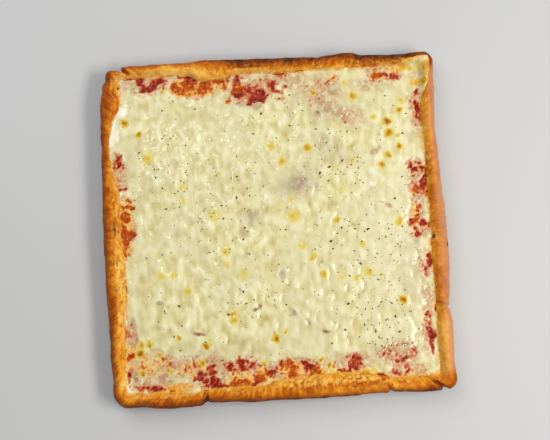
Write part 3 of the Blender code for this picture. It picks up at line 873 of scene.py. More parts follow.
# bare sauce, in order at the back, right, left and front
bareMarks = [
    (-155, 177.5, 6, 2), (-146, 174, 4, 6, 0.84, 20), (-143, 165, 4, 5.5, 0.84, 10),
    (-136, 164, 7, 3, 0.84, 10), (-131, 169, 4, 6, 0.84), (-124, 173, 6, 3, 0.84, 20),
    (-118, 176, 4, 5, 0.84, 30), (-109, 180, 8, 2, 1, 5), (-98, 177.5, 7, 2, 1, -10), (-120, 168, 2.5, 5),
    (-90, 169, 7, 5), (-73, 168, 6, 3), (-58, 169, 12, 2.5), (-44, 177, 7, 4), (-31, 178.5, 7, 1.5),
    (-36, 165, 4, 9, 1, -15), (-101, 160, 9, 7, 0.5), (-107, 163, 4, 6, 0.9), (-90, 155, 6, 3.5, 0.6),
    (-75, 162, 6, 6, 0.6), (-67, 165, 4, 5, 0.9), (-80, 152, 4, 3, 0.6), (-49, 163, 4, 6, 0.6),
    (-28, 158.5, 9, 4, 1, -5), (-37, 155, 4, 6, 1, 20), (-47, 145, 4, 2.5), (-9, 153, 5, 5),
    (-7, 148, 7, 3, 1, 10), (-14, 145.5, 6, 2, 1, 10), (-21, 142, 2.5, 1.5), (6, 164, 6, 3.5, 0.75),
    (8, 158, 3, 5, 0.8, 20), (12, 155, 9, 2, 0.8, -35), (17, 150, 2, 8, 0.8, 5), (21, 160, 5, 2, 0.8, 10),
    (11, 146, 4, 2), (17, 177, 9, 2.5, 1, 5), (32, 177.5, 3, 1.5), (76, 167, 7, 1.8, 1, 30),
    (126, 165, 3, 5, 1, 30), (133, 168, 5, 1.8, 1, 25), (139, 168.5, 2, 1.5), (149, 165, 4, 3),
    (174.5, 127, 4, 7.5, 1.4, 5), (176, 117, 2.6, 4, 1.3, -15), (174, 148, 2, 4, 1, -20), (160, 62, 2.5, 4),
    (165, 57, 4, 2, 1, 20), (168, 64, 3, 1.5), (175, 56, 3.5, 4), (163, 53, 4, 1.5),
    (176.5, 43, 4, 8, 1.3, -12), (181, 34, 2.5, 4), (177, 27, 2.5, 2.5), (181.5, 18, 1.8, 6),
    (163, 31, 2.8, 3.2), (163, 10, 2.2, 2.4), (163, 1, 2.2, 2.2), (158, -4, 3, 2.5), (163, -19, 4, 2),
    (171, -6, 3, 4, 1, 20), (160, -13, 3, 2), (177, -10, 2, 3), (175.5, -50, 3.2, 8, 1.3, -10),
    (170, -60, 1.5, 3), (168, -111, 2.5, 4), (169, -119, 2.2, 6), (166, -126, 2.5, 2, 1, 30),
    (170, -129, 2, 3), (172, -137.5, 3.2, 5, 1.3, -10), (170, -144, 1.5, 2.5), (170, -152, 1.2, 7, 1, 5),
    (-175, 77, 2, 5, 1, -45), (-172, 87, 1.2, 3, 1, -20), (-183, 46, 4, 4, 1, 30), (-181, 38, 4, 3),
    (-170, 50, 4.5, 0.9), (-163.5, 37, 1.4, 4, 1, 15), (-165, 28.5, 5.5, 2, 1, -5), (-176, 30, 4, 1.5),
    (-161.5, 27, 1.8, 3), (-169, 18, 5, 5), (-175, 8, 5, 5), (-176, -5, 6, 6), (-173, -8, 6, 16, 0.9),
    (-172, -14, 5, 6, 1.2), (-163, -3, 4, 2.5), (-172, -23, 4.5, 4), (-172.5, -32, 1.8, 1.5),
    (-177.5, -112, 3, 3), (-172, -140, 3.5, 3, 1, 20), (-173, -162, 2.2, 5, 1, 5),
    (-165, -173, 4, 2, 1, -10), (-157, -175.5, 7, 2.4), (-141, -177.5, 9, 2.6), (-122, -179, 8, 2, 0.8),
    (-60, -179.5, 20, 2.6, 0.9), (-95, -167, 3, 3.5, 1, -30), (-80, -162, 3, 5, 1.2),
    (-80, -174, 7, 6, 1.4, 10), (-73, -178.5, 4, 2.5, 1, -20), (-60, -155, 3, 3), (-49, -152, 5, 3),
    (-43, -151, 4, 2), (-35, -156, 3, 2.5), (-44, -161, 3, 2), (-50, -176, 9, 3.5, 1, 10),
    (-38, -178, 6, 3), (-28, -173, 5, 5), (-17, -167, 5, 3.5), (-22, -157, 2, 1.5), (-2, -157, 3, 3),
    (7, -160, 5, 6), (9, -168, 5, 5), (23, -157, 4.5, 2, 1, -10), (28, -162, 3, 3), (33, -166, 3, 3),
    (32, -175, 7, 3.5, 1, 15), (38, -170, 3.5, 3), (57, -163, 1.5, 2.5), (68, -172, 5.5, 4),
    (62, -168, 2.5, 1.5), (80, -157, 3, 2.5), (81, -164, 3.5, 4.5), (75, -165, 3, 2.5),
    (118, -147, 3.5, 1.3, 0.5, -30), (112, -155, 2.2, 2, 0.5, -40), (124, -161, 5, 1.2, 0.5, -15),
    (136, -161, 1.5, 3.5, 0.6, 20), (140, -158, 2, 2, 0.5), (148, -150, 3, 3, 0.6),
    (127, -175, 3, 1.5, 0.6), (140, -174, 4, 1.3, 0.6, 25),
]

# thin, mottled cheese that lets the sauce glimmer through
thinMarks = [
    (-140, 170, 24, 12, 0.6), (-82, 166, 38, 12, 0.8), (-20, 158, 26, 16, 0.7), (32, 166, 16, 12, 0.4),
    (0, 172, 32, 8, 0.7), (141, -173, 22, 8, 0.8), (-60, -174, 34, 8, 0.7), (62, 150, 24, 20, 0.5),
    (92, 122, 26, 12, 0.45, -15), (118, 158, 26, 10, 0.35), (138, 171, 26, 8, 0.7), (176, 168, 10, 14, 0.4),
    (172, 120, 7, 26, 0.6), (167, 42, 11, 26, 0.8), (164, -2, 10, 24, 0.7), (168, -50, 9, 22, 0.6),
    (170, -100, 7, 22, 0.5), (167, -135, 8, 24, 0.6), (130, -154, 24, 14, 0.6), (82, -160, 20, 12, 0.7),
    (14, -164, 44, 11, 0.8), (-46, -162, 30, 14, 0.8), (-92, -156, 26, 16, 0.75), (-145, -154, 30, 20, 0.8),
    (-171, -125, 9, 26, 0.7), (-170, 8, 10, 34, 0.8), (-174, 68, 10, 22, 0.6), (-176, -75, 4, 26, 0.3),
]

# cheese that bridges a bay
islandMarks = [
    (-157, 165, 7, 8, 0.9), (-139, 171, 4, 3, 0.8), (-115, 162, 3, 6, 0.8, 20),
    (-45, 160, 2.5, 14, 0.9, -15), (-15, 171, 9, 5, 0.9), (3, 172, 6, 4, 0.7), (-2, 160, 3, 4, 0.5),
    (30, 168, 10, 8, 0.8), (-55, 150, 5, 5, 0.6), (170, -28, 5, 6, 0.9), (172, 22, 5, 4, 0.9),
    (168, 48, 5, 4, 0.8), (-110, -173, 12, 2.2, 1, -22), (-72, -166, 3.5, 8, 0.8), (-66, -160, 3, 5, 0.6),
    (-36, -162, 3, 4, 0.5), (-164, -160, 7, 6, 0.7), (-140, -165, 12, 7, 0.6), (58, -180, 26, 5, 0.9, 2),
    (16, -181, 20, 3.5, 0.9, 3), (96, -180, 12, 5, 0.9),
]

# ochre, toasted spots: x, y, radius, strength
blisterMarks = [
    (-166, 127, 4.5, 0.9), (-151, 113, 3.5, 0.8), (-142, 85, 7, 0.45), (-60, 64, 4, 0.3), (-70, 15, 9, 0.3),
    (-58, -26, 5.5, 0.5), (-58, -42, 5, 0.35), (-104, -69, 4.5, 0.5), (-132, -50, 7, 0.3),
    (-119, -50, 6, 0.3), (-38, -52, 7, 0.3), (-105, 50, 5, 0.3), (-105, 34, 5, 0.35), (138, 115, 5, 1),
    (139, 101, 5, 0.85), (122, 121, 4.5, 0.45), (154, 128, 4, 0.8), (156, 139, 5, 0.5), (100, 147, 4, 0.8),
    (90, 164, 2.5, 0.5), (149, 98, 3, 0.6), (137, 76, 4.5, 0.7), (151, 85, 4, 0.75), (129, 64, 3.5, 0.8),
    (94, 71, 3, 0.6), (43, 89, 4.5, 0.7), (12, 74, 4.5, 0.6), (0, 92, 5, 0.45), (21, 29, 4, 0.4),
    (21, 10, 8, 0.45), (72, 3, 3.5, 0.7), (6, 26, 4, 0.3), (145, -3, 6, 0.55), (41, -38, 5, 0.5),
    (30, -25, 5.5, 0.45), (53, -59, 5, 0.6), (92, -65, 5, 0.45), (105, -59, 5.5, 0.5),
    (100, -26, 4.5, 0.45), (143, -93, 5, 0.9), (73, -63, 5, 0.3), (119, -62, 4, 0.3), (79, 39, 6, 0.3),
    (-54, -98, 3.5, 0.8), (-53, -105, 5, 0.6), (-6, -128, 4.5, 0.95), (6, -121, 3, 0.8),
    (-86, -132, 4, 0.95), (-116, -121, 2.8, 0.85), (-139, -139, 3.2, 0.7), (-150, -127, 4, 0.85),
    (-159, -127, 4, 0.7), (-160, -136, 5, 1), (-159, -158, 4, 0.8), (-128, -158, 4, 0.5),
    (-91, -151, 4.5, 0.8), (-178, -132, 4, 0.8), (188, 178, 6, 0.85), (184, 161, 5, 0.8),
    (177, 160, 4, 0.7), (178, 178, 3, 0.5), (170, 177, 4, 0.6), (160, 180, 5, 0.6), (190, 168, 4, 0.7),
    (168, 187, 4, 0.6), (78, -182, 3, 0.8), (60, -176, 8, 0.7), (92, -176, 7, 0.9), (104, -171, 4, 0.5),
    (43, -156, 3, 0.9), (53, -163, 3.5, 0.9), (-22, -156, 4, 0.6), (-122, 163, 3, 0.5), (54, 153, 3, 0.8),
]

# soft places where the sauce shows mauve through the cheese
blushMarks = [
    (28, 46, 26, 18, 0.34, 10), (27, 47, 14, 11, 0.6, 10), (-25, 10, 16, 12, 0.28, 20),
    (-24, 12, 8, 6, 0.5, 20), (70, 84, 30, 14, 0.3, -35), (150, -70, 14, 60, 0.24),
    (-150, -150, 22, 14, 0.2), (62, 128, 20, 14, 0.25), (-60, -140, 40, 10, 0.22),
    (130, -150, 30, 16, 0.25), (88, 119, 5, 5), (86, 127, 3, 3, 0.6), (68, 131, 4, 5, 0.7),
    (56, 126, 4, 4, 0.7), (119, 79, 5, 4, 0.7, 20), (124, 83, 3, 3, 0.5), (25, 46, 13, 8, 0.45),
    (45, 44, 8, 6, 0.35), (35, 62, 14, 10, 0.2), (50, 60, 2.5, 5, 0.35), (-25, 13, 10, 8, 0.4, 20),
    (-38, -6, 5, 6, 0.4), (131, 15, 4, 2, 1, -30), (122, 20, 7, 1.5, 0.4, -10), (116, 13, 1.5, 6, 0.35),
    (115, 37, 5, 2.5, 0.4, 20), (4, -57, 4, 5, 0.5), (-135, -81, 5, 2.5, 0.7, -15), (-127, -86, 3, 2, 0.4),
    (-26, -93, 6, 2, 0.9, 30), (-92, -118, 9, 2, 0.9, -15), (13, -99, 7, 3, 0.6, -45),
    (31, -112, 6, 2, 0.6, -60), (50, -124, 7, 2.2, 0.9, -10), (54, -124, 3, 3, 0.5),
    (-166, -103, 4, 9, 0.5), (-165, -118, 5, 6, 0.35), (-112, -160, 7, 5, 0.6, 20),
    (-104, -153, 8, 4, 0.35), (-147, -158, 5, 2, 0.6, -40), (-140, -150, 4, 4, 0.3), (-85, -146, 4, 2, 0.6),
    (60, -150, 3, 5, 0.5, 15), (70, -158, 8, 6, 0.3), (115, -152, 7, 2, 0.8, -50),
    (126, -158, 8, 3, 0.6, -15), (128, -153, 6, 4, 0.35), (137, -148, 4, 2, 0.4, 40),
    (142, -143, 2, 2, 0.5), (145, -155, 6, 2, 0.6, 60), (122, -175, 6, 3, 0.4), (132, -178, 6, 2, 0.4),
    (161, -30, 4, 8, 0.4), (164, -60, 4, 12, 0.3), (166, -85, 4, 14, 0.35), (172, -90, 3, 10, 0.25),
    (163, 95, 6, 10, 0.25), (170, -15, 6, 8, 0.5), (-175, 85, 5, 10, 0.35), (-170, 65, 6, 8, 0.3),
    (-178, -120, 3, 8, 0.5), (70, 158, 4, 8, 0.5), (57, 165, 5, 8, 0.35), (63, 171, 4, 5, 0.3),
    (-15, 138, 8, 4, 0.5), (-30, 142, 8, 4, 0.4), (115, 162, 4, 2, 0.4), (32, 145, 6, 8, 0.3),
    (-5, 165, 8, 5, 0.2),
]

# paler cheese
whiteMarks = [
    (-168, 138, 5, 8, 1, -35), (-178, 112, 5, 14, 0.8, -12), (-172, 84, 6, 10, 0.5),
    (136, 0, 40, 130, 0.14),
]

# cheese that is baked golden
goldenMarks = [
    (60, -176, 26, 6, 0.9), (18, -178, 22, 5, 0.8), (-118, -176, 18, 5, 0.95), (184, 184, 10, 8, 0.52),
    (187, 168, 6, 12, 0.7), (176, 90, 3, 20, 0.65), (171, 158, 8, 6, 0.6), (176, 188, 14, 5, 0.7),
    (152, 178, 18, 6, 0.8), (100, -178, 18, 5, 0.8), (-173, 160, 5, 12, 0.7), (-174, -60, 2.5, 50, 0.9),
    (-80, 175, 30, 2.5, 0.6),
]


def edgeDistances(x, y, withBays):
    # how far inside the cheese's edge a place is, the nearest of the four sides counting
    least = None
    sides = (
        (rightSide, dough["halfX"] - x, y), (backSide, dough["halfY"] - y, x),
        (leftSide, dough["halfX"] + x, y), (frontSide, dough["halfY"] + y, x),
    )
    for side, depth, place in sides:
        bay = np.zeros(np.shape(x))
        lap = np.zeros(np.shape(x))
        for baySide, middle, halfWidth, amount in cheese["bays"]:
            if baySide == side and withBays:
                bay = np.maximum(bay, amount * hump(place, middle, halfWidth))
        for lapSide, points in cheese["laps"]:
            if lapSide == side:
                lap = eased(points, place)
        inside = depth - (cheese["edgeInset"] + bay - lap)
        if least is None:
            least = inside
        else:
            blend = np.clip(0.5 + 0.5 * (least - inside) / cheese["cornerBlend"], 0.0, 1.0)
            least = least * (1 - blend) + inside * blend - cheese["cornerBlend"] * blend * (1 - blend)
    return least


def blurred(values, times):
    # each time, every value is drawn towards its four neighbours
    for turn in range(times):
        padded = np.pad(values, 1, mode="edge")
        around = padded[:-2, 1:-1] + padded[2:, 1:-1] + padded[1:-1, :-2] + padded[1:-1, 2:]
        values = (around + 2 * values) / 6
    return values


def cheeseMaterial():
    material, tree, shader = newMaterial("meltedCheese", {
        "Specular IOR Level": 0.15, "Coat Roughness": 0.13, "Subsurface Weight": 0.06,
        "Subsurface Radius": (1.0, 0.7, 0.35), "Subsurface Scale": 0.0012,
    })
    crown = tree.ask("crown")
    broad = tree.noise(0.045, 2.0, 0.5)
    mottle = tree.noise(0.0085, 3.0, 0.55, stretch=(1.0, 0.5, 1.0), warp=0.3)
    fine = tree.noise(0.0022, 3.0, 0.6)
    pores = tree.noise(0.0011, 1.0, 0.5)
    duskyReds = [(0.42, colour(212, 190, 152)), (0.50, colour(196, 148, 108)), (0.58, colour(166, 80, 48))]
    duskyOranges = [(0.42, colour(232, 202, 136)), (0.50, colour(220, 154, 74)), (0.58, colour(190, 96, 22))]
    # the curds' tops are painted paler and the hollows between them darker, as painted highlight and painted
    # shade, with a random mottle over it
    shade = (crown * 0.88 + (mottle - 0.5) * 0.6 + (fine - 0.5) * 0.2 + 0.03).held()
    base = tree.ramp(shade, [
        (0.00, colour(192, 174, 106)), (0.25, colour(216, 203, 140)), (0.50, colour(231, 221, 164)),
        (0.75, colour(243, 236, 189)), (1.00, colour(254, 251, 224)),
    ])
    base = tree.mix(tree.step(broad, 0.40, 0.62) * 0.40, base, colour(222, 213, 170))
    base = tree.mix(tree.ask("white"), base, colour(255, 252, 228))
    shred = tree.noise(0.0040, 4.0, 0.66, warp=0.9)
    blush = tree.ask("blush") * (1.0 + (mottle - 0.5) * 1.6 + (shred - 0.5) * 1.2)
    base = tree.mix(tree.step(blush, 0.0, 0.80) * 0.85, base, colour(164, 142, 120))
    base = tree.mix(tree.step(blush, 0.58, 1.05) * 0.85, base, colour(158, 70, 44))
    thin = tree.ask("thin") + (shred - 0.5) * 0.70 + (fine - 0.5) * 0.25
    orange = tree.step(tree.ask("orange") + (mottle - 0.5) * 0.8, 0.15, 0.65)
    reds = tree.ramp(thin, [
        (0.10, colour(224, 204, 164)), (0.34, colour(214, 174, 130)), (0.58, colour(204, 128, 82)),
        (0.78, colour(182, 66, 34)), (0.94, colour(146, 28, 10)),
    ])
    oranges = tree.ramp(thin, [
        (0.10, colour(238, 222, 156)), (0.34, colour(240, 194, 110)), (0.58, colour(226, 150, 56)),
        (0.78, colour(202, 98, 16)), (0.94, colour(176, 70, 4)),
    ])
    net = tree.noise(0.0078, 4.0, 0.62, warp=0.8)
    veil = tree.ask("veil")
    threads = tree.step(net, 0.44, 0.49) * tree.step(net, 0.58, 0.52)
    dusky = tree.mix(orange, tree.ramp(net, duskyReds), tree.ramp(net, duskyOranges))
    patches = 0.26 + threads * 0.34 + tree.step(net, 0.49, 0.58) * 0.40
    base = tree.mix(tree.step(veil, 0.04, 0.60) * patches, base, dusky)
    base = tree.mix(tree.step(thin, 0.06, 0.34), base, tree.mix(orange, reds, oranges))
    blister = tree.ask("blister") * (1.0 + (fine - 0.5) * 0.6)
    toasted = tree.ramp(blister, [
        (0.08, colour(236, 225, 142)), (0.32, colour(226, 203, 92)), (0.58, colour(210, 164, 38)),
        (0.82, colour(182, 114, 12)), (1.0, colour(146, 76, 5)),
    ])
    base = tree.mix(tree.step(blister - thin * 0.30, 0.04, 0.34), base, toasted)
    golden = tree.step(tree.ask("golden") + (shred - 0.5) * 1.6, 0.35, 0.85)
    goldenColour = tree.mix(tree.step(fine, 0.35, 0.65), colour(246, 184, 54), colour(212, 124, 26))
    base = tree.mix(golden * 0.85, base, goldenColour)
    rough = 0.16 + fine * 0.12
    height = fine * 0.7 + pores * 0.35
    coat = (0.62 - thin * 0.70).held()
    feed(tree, shader, base=base, roughness=rough, coat=coat, normal=tree.bump(height, 0.00045, 0.8))
    return material


def cheeseOpened(x, y, markX, markY, veil, blush):
    # 0 where the cheese is whole, 1 where only strands and crumbs of it are left
    share = cheese["opening"]
    bare = marked(markX, markY, bareMarks)
    island = marked(markX, markY, islandMarks)
    # a skirt is a wider, thin zone round each bare mark
    times, more = cheese["skirtGrowth"]
    skirts = [(*mark[:2], times * mark[2] + more, times * mark[3] + more, *mark[4:]) for mark in bareMarks]
    skirt = marked(markX, markY, skirts) * np.clip(0.9 + 0.8 * grain(x, y, 0.008, 18.0), 0.3, 1.3)
    opened = share["bare"] * bare + share["skirt"] * skirt + share["veil"] * veil + share["blush"] * blush
    opened = opened - share["island"] * island * (1.0 - bare)
    return np.minimum(opened, 1.04 + 0.7 * np.maximum(bare - 1.0, 0.0))


def cheeseFill(x, y, opened):
    # 1 in whole cheese, less where it opens, with strands and crumbs left over
    bend, bendSize = cheese["warp"]
    warpX = x + bend * grain(x, y, bendSize, 10.0)
    warpY = y + bend * grain(x, y, bendSize, 11.0)
    wide, fine = cheese["netSizes"]
    wideNet = 1.0 - smooth(webbed(warpX, warpY, wide, 1) / 0.42)
    fineNet = 1.0 - smooth(webbed(warpX, warpY, fine, 2) / 0.40)
    strands = np.maximum(wideNet, 0.7 * fineNet) * np.clip(0.95 + 0.9 * grain(x, y, 0.013, 17.0), 0.3, 1.5)
    small, large = cheese["crumbSizes"]
    crumbs = grain(x, y, small, 13.0) + 0.5 * grain(x, y, large, 12.0)
    left = 0.50 * strands * smooth(opened / 0.3)
    return 1.0 - 1.28 * opened + left + 0.42 * crumbs * smooth(opened / 0.4)


def cheeseCrown(x, y):
    # curds drawn out along y, with soft domes among them
    large, small = cheese["lumpSizes"]
    bend, bendSize = cheese["warp"]
    warpX = x + bend * grain(x, y, bendSize, 10.0)
    lumps = grain(x, y, large, 14.0, 2.1) + 0.55 * grain(x, y, small, 15.0, 1.9)
    domes = smooth(0.5 + 1.1 * grain(warpX, y, cheese["domeSize"], 16.0, 1.4)) - 0.5
    return 0.55 * lumps + 0.75 * domes


def cheeseRelief(x, y, crown, depth):
    # waves and curds, calmer round the middle and near the edge
    large, small = cheese["waveSizes"]
    swells = cheese["wave"] * (0.7 * swell(x, y, large, 6.0) + 0.5 * swell(x, y, small, 7.0))
    calm = 0.60 + 0.40 * smooth((0.12 - np.hypot(x + 0.02, (y + 0.02) * 0.85)) / 0.06 + 0.5)
    return swells * (0.35 + 0.65 * depth) + cheese["lump"] * crown * calm * (0.4 + 0.6 * depth)


def blistersAt(x, y):
    # toasted spots, strongest in the middle of each
    shiftX, shiftY = marking["shift"]
    blister = np.zeros(x.shape)
    for markX, markY, radius, strength in blisterMarks:
        away = np.hypot(x * 1000 - markX - shiftX, y * 1000 - markY - shiftY) / radius
        blister = np.maximum(blister, strength * np.exp(-0.95 * away * away))
    return blister


def makeCheese(crustTree):
    x, y = gridOf(cheese["reach"], cheese["step"])
    doughZ = heightsOver(crustTree, x, y)
    wide = edgeDistances(x, y, False)
    inside = edgeDistances(x, y, True)
    seenX, seenY = seenPlaces(x, y)
    (large, largeSize), (small, smallSize) = cheese["shaken"]
    shakenX = seenX + large * grain(x, y, largeSize, 4.0) + small * grain(x, y, smallSize, 5.0)
    shakenY = seenY + large * grain(x, y, largeSize, 6.0) + small * grain(x, y, smallSize, 7.0)
    (large, largeSize), (small, smallSize) = cheese["ragged"]
    ragged = large * grain(x, y, largeSize, 8.0) + small * grain(x, y, smallSize, 9.0)
    blush = marked(shakenX, shakenY, blushMarks)
    veil = marked(seenX + 2.0 * (shakenX - seenX), seenY + 2.0 * (shakenY - seenY), thinMarks)
    fill = cheeseFill(x, y, cheeseOpened(x, y, shakenX, shakenY, veil, blush))
    thin = np.clip(1.0 - fill, 0.0, 1.2)
    depth = 1.0 - np.exp(-np.maximum(inside, 0.0) / cheese["reliefBuild"])
    built = smooth(inside / cheese["build"])
    full = cheese["edgeThickness"] + (cheese["thickness"] - cheese["edgeThickness"]) * built
    touching = smooth(0.5 + (wide + 0.3 * ragged) / 0.0025)
    fill = np.clip(fill, -0.7, 1.0)
    fill = np.where(fill > 0, fill * touching, fill) - 0.3 * (1.0 - touching)
    thick = np.where(fill > 0, full * np.maximum(fill, 0.0) ** 0.6, cheese["dip"] * fill)
    body = np.clip(fill, 0.0, 1.0)
    crown = cheeseCrown(x, y)
    bend, bendSize = cheese["wobble"]
    wobbleX = x + 0.6 * (shakenX - seenX) + bend * grain(x, y, bendSize, 19.0)
    wobbleY = y + 0.6 * (shakenY - seenY) + bend * grain(x, y, bendSize, 20.0)
    blister = blistersAt(wobbleX, wobbleY)
    relief = cheeseRelief(x, y, crown, depth) * body + cheese["blisterHeight"] * blister * body
    # the cheese lies on a softened copy of what is below it
    under = np.maximum(sauceTop(x, y), doughZ)
    softUnder = np.maximum(blurred(under, 3), under)
    flat = np.maximum(sauce["top"], doughZ)
    softFlat = np.maximum(blurred(flat, 3), flat)
    base = softFlat + (softUnder - softFlat) * (1.0 - 0.75 * smooth(inside / 0.018))
    z = base + thick + relief
    z = np.where(fill > 0.08, np.maximum(z, under + cheese["clearance"]), z)
    z = np.minimum(z, cheese["top"])
    shownHere = wide + ragged > -cheese["overrun"]
    shown = shownHere[:-1, :-1] & shownHere[1:, :-1] & shownHere[1:, 1:] & shownHere[:-1, 1:]
    z = np.where(shownHere, z, z - cheese["tuck"])
    # a darker golden band along the cheese's edge where it meets the rim: partly baked colour, partly painted
    # shade at the contact
    rimward = smooth((0.0034 - wide - 0.5 * ragged) / 0.003)
    white = marked(shakenX, shakenY, whiteMarks)
    # crown is kept so that the material can paint the curds' tops paler and their hollows darker, as painted
    # light and shade
    values = {
        "thin": thin, "veil": veil * (1.0 - white), "orange": marked(shakenX, shakenY, orangeMarks),
        "blister": blister, "blush": blush, "crown": np.clip(0.5 + 0.5 * crown, 0.0, 1.0), "white": white,
        "golden": np.maximum(marked(shakenX, shakenY, goldenMarks), 0.75 * rimward * (1.0 - white)),
    }
    data = layerMesh("meltedCheese", x, y, z, shown, cheese["bottom"], values)
    piece = newPiece("meltedCheese", data, cheeseMaterial())
    print("cheese:", len(data.polygons), "faces")
    return piece


# Herbs

herb = {
    # the larger flakes, as in the solid: longest and shortest, how far apart, and from the cheese's edge
    "count": 76,
    "lengths": (0.0036, 0.0021),
    "spacing": 0.0125,
    "margin": 0.006,
    "reach": 0.155,
    "seed": 7,
    # the dust
    "smallCount": 700,
    "smallLengths": (0.0009, 0.0023),
    "smallMargin": 0.002,
    "smallReach": 0.165,
    "smallSpread": 1.7,     # how far past a patch the dust spreads
    "inPatches": 0.6,       # share of the flakes that fall in patches
    "rise": 0.04,           # height of a flake's middle over the cheese, as a share of its length
    # middle and radius of each patch
    "patches": (
        (-0.118, 0.064, 0.030), (0.030, 0.118, 0.034), (0.068, 0.062, 0.020), (0.086, -0.022, 0.034),
        (0.104, -0.090, 0.030), (0.130, -0.028, 0.026), (0.124, -0.122, 0.020), (-0.044, 0.012, 0.034),
        (-0.036, -0.086, 0.030),
    ),
    "tree": {"Width": 0.62, "Thickness": 0.22, "Curl": 0.34, "Seed": 5},
}


def flakePlaces(solidTree):
    # the same draws that placed the solid's flakes, and then a dust of smaller ones
    def onCheese(x, y, margin):
        steps = (-margin, 0.0, margin)
        down = Vector((0.0, 0.0, -1.0))
        starts = [Vector((x + i, y + j, 1.0)) for i in steps for j in steps]
        return all(solidTree.ray_cast(start, down)[0] for start in starts)

    draw = random.Random(herb["seed"])
    longest, shortest = herb["lengths"]

    def drawn(reach, spread):
        if draw.random() < herb["inPatches"]:
            x, y, radius = draw.choice(herb["patches"])
            angle = draw.uniform(0.0, 2.0 * math.pi)
            away = radius * spread * math.sqrt(draw.random())
            return x + away * math.cos(angle), y + away * math.sin(angle)
        x = draw.uniform(-reach, reach)
        return x, draw.uniform(-reach, reach)

    places = []
    while len(places) < herb["count"]:
        x, y = drawn(herb["reach"], 1.0)
        clear = min((math.hypot(x - u, y - v) for u, v, length in places), default=1.0)
        if clear < herb["spacing"] or not onCheese(x, y, herb["margin"]):
            continue
        share = len(places) / herb["count"]
        places.append((x, y, longest + (shortest - longest) * share))
    while len(places) < herb["count"] + herb["smallCount"]:
        x, y = drawn(herb["smallReach"], herb["smallSpread"])
        if onCheese(x, y, herb["smallMargin"]):
            places.append((x, y, draw.uniform(*herb["smallLengths"])))
    return places


def flakeTree():
    # geometry nodes: bent, torn scraps of leaf on the points, each as long as its point says
    tree, given = newGroup("herbScatter", ("Width", "Thickness", "Curl"), ("Seed",))
    scrap = tree.node("GeometryNodeMeshIcoSphere", {}, {"Radius": 0.5, "Subdivisions": 2})
    flat = tree.node("ShaderNodeCombineXYZ", {}, {0: 1.0, 1: given("Width"), 2: given("Thickness")})
    scrap = tree.node("GeometryNodeTransform", {}, {"Geometry": scrap, "Scale": flat})
    where = tree.node("GeometryNodeInputPosition")
    apart = tree.node("ShaderNodeSeparateXYZ", {}, {0: where}, 0)
    lift = apart * apart * given("Curl")
    bend = tree.node("ShaderNodeCombineXYZ", {}, {0: 0.0, 1: 0.0, 2: lift})
    scrap = tree.node("GeometryNodeSetPosition", {}, {"Geometry": scrap, "Offset": bend})

    def scattered(low, high, offset):
        sockets = {0: low, 1: high, "Seed": given("Seed") + offset}
        return tree.node("FunctionNodeRandomValue", {"data_type": "FLOAT_VECTOR"}, sockets)

    turned = scattered((-0.35, -0.35, 0.0), (0.35, 0.35, 6.283), 0)    # tilted a little, turned any way
    length = tree.node("GeometryNodeInputNamedAttribute", {"data_type": "FLOAT"}, {"Name": "length"})
    stretch = scattered((0.85, 0.55, 0.8), (1.25, 1.25, 1.2), 1)
    size = tree.node("ShaderNodeVectorMath", {"operation": "SCALE"}, {0: stretch, "Scale": length})
    sockets = {"Points": given("Geometry"), "Instance": scrap, "Rotation": turned, "Scale": size}
    scraps = tree.node("GeometryNodeInstanceOnPoints", {}, sockets)
    real = tree.node("GeometryNodeRealizeInstances", {}, {"Geometry": scraps})
    # each scrap is torn its own way, so this comes after they are made real
    noisy = tree.node("ShaderNodeTexNoise", {}, {"Vector": where, "Scale": 900.0, "Detail": 1.0}, "Color")
    centred = tree.node("ShaderNodeVectorMath", {"operation": "SUBTRACT"}, {0: noisy, 1: (0.5, 0.5, 0.5)})
    offset = tree.node("ShaderNodeVectorMath", {"operation": "SCALE"}, {0: centred, "Scale": 0.0011})
    torn = tree.node("GeometryNodeSetPosition", {}, {"Geometry": real, "Offset": offset})
    return endGroup(tree, torn, given("Finish"))


def herbMaterial():
    material, tree, shader = newMaterial("driedHerb", {"Roughness": 0.7, "Specular IOR Level": 0.3})
    patch = tree.noise(0.0016, 2.0, 0.6)
    wide = tree.noise(0.009, 1.0, 0.5)
    base = tree.ramp(patch * 0.5 + wide * 0.5, [
        (0.30, colour(36, 36, 10)), (0.46, colour(60, 60, 16)), (0.58, colour(88, 80, 26)),
        (0.72, colour(118, 98, 42)),
    ])
    feed(tree, shader, base=base, normal=tree.bump(patch, 0.0002, 0.6))
    return material


def makeHerbs(cheesePiece):
    solidTree = surfaceOf(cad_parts["cheese"].data)
    top = surfaceOf(cheesePiece.data)
    x, y, lengths = np.array(flakePlaces(solidTree)).T
    z = heightsOver(top, x, y) + herb["rise"] * lengths
    data = newMesh("herbFlakes", np.stack([x, y, z], axis=1), [])
    keep(data, "length", lengths)
    piece = newPiece("herbFlakes", data, herbMaterial())
    addGroup(piece, "scatter", flakeTree(), herb["tree"])
    piece.data.shade_smooth()
    print("herbs:", len(piece.data.polygons), "faces")
    return piece


# Floor, lights and camera

studio = {
    "cameraPlace": (-0.06738, -0.08559, 1.072),
    "cameraTurn": (5.20167, -3.26538, -3.41420),    # degrees
    "lens": 60.0,
    "sensorWidth": 36.0,
    "room": (0.93, 0.95, 1.0, 1.0),
    "roomStrength": 0.33,
    "floorSize": 3.0,
    "floorColours": ((204, 204, 202), (208, 208, 207)),
    # name, place, aim, size, power and colour of each light
    "lights": (
        ("keyLight", (0.95, -0.25, 1.15), (0.0, 0.0, 0.0), (0.95, 0.35), 14.5, (1.0, 0.97, 0.93)),
        ("glint", (-0.12, 0.30, 1.40), (-0.06, 0.04, 0.0), (0.14, 0.14), 0.9, (1.0, 1.0, 1.0)),
        ("backFill", (-0.75, 1.00, 1.30), (0.0, 0.0, 0.0), (1.3, 1.0), 11.0, (0.97, 0.985, 1.0)),
    ),
}


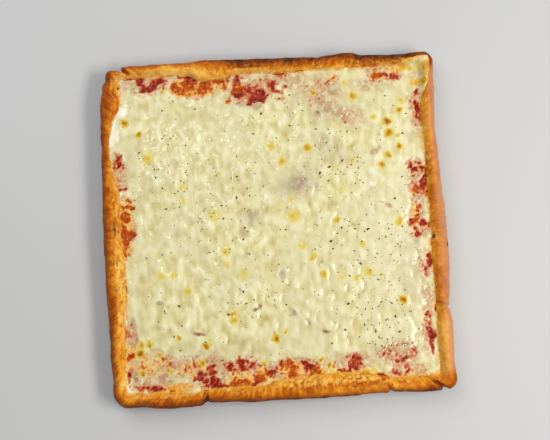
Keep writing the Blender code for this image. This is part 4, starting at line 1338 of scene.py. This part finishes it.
def makeFloor():
    data = bpy.data.meshes.new("floor")
    mesh = bmesh.new()
    bmesh.ops.create_grid(mesh, x_segments=8, y_segments=8, size=studio["floorSize"])
    mesh.to_mesh(data)
    mesh.free()
    material, tree, shader = newMaterial("paleFloor", {"Roughness": 0.8, "Specular IOR Level": 0.2})
    darker, lighter = studio["floorColours"]
    base = tree.mix(tree.noise(0.4, 2.0, 0.5), colour(*darker), colour(*lighter))
    feed(tree, shader, base=base)
    piece = newPiece("floor", data, material)


def areaLight(name, place, aim, size, power, tint):
    data = bpy.data.lights.new(name, "AREA")
    data.shape = "RECTANGLE"
    data.size, data.size_y = size
    data.energy = power
    data.color = tint
    light = bpy.data.objects.new(name, data)
    bpy.context.scene.collection.objects.link(light)
    light.location = place
    way = Vector(aim) - Vector(place)
    light.rotation_euler = way.to_track_quat("-Z", "Y").to_euler()


def makeStudio():
    makeFloor()
    for light in studio["lights"]:
        areaLight(*light)
    scene = bpy.context.scene
    world = bpy.data.worlds.new("paleRoom")
    world.use_nodes = True
    background = world.node_tree.nodes["Background"].inputs
    background["Color"].default_value = studio["room"]
    background["Strength"].default_value = studio["roomStrength"]
    scene.world = world
    scene.view_settings.view_transform = "Standard"
    camera = bpy.data.objects.new("camera", bpy.data.cameras.new("camera"))
    scene.collection.objects.link(camera)
    camera.data.lens = studio["lens"]
    camera.data.sensor_width = studio["sensorWidth"]
    camera.location = studio["cameraPlace"]
    camera.rotation_euler = Euler([math.radians(angle) for angle in studio["cameraTurn"]])
    scene.camera = camera


def main():
    crustPiece = makeDough()
    crustTree = surfaceOf(crustPiece.data)
    saucePiece = makeSauce(crustTree)
    cheesePiece = makeCheese(crustTree)
    herbPiece = makeHerbs(cheesePiece)
    stands = (
        (crustPiece, "crust", "baked_dough"), (saucePiece, "sauce", "tomato_sauce"),
        (cheesePiece, "cheese", "melted_cheese"), (herbPiece, "cheese", "dried_herb"),
    )
    for piece, node, slotName in stands:
        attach(piece, "root")
        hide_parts(node)
    makeStudio()


main()
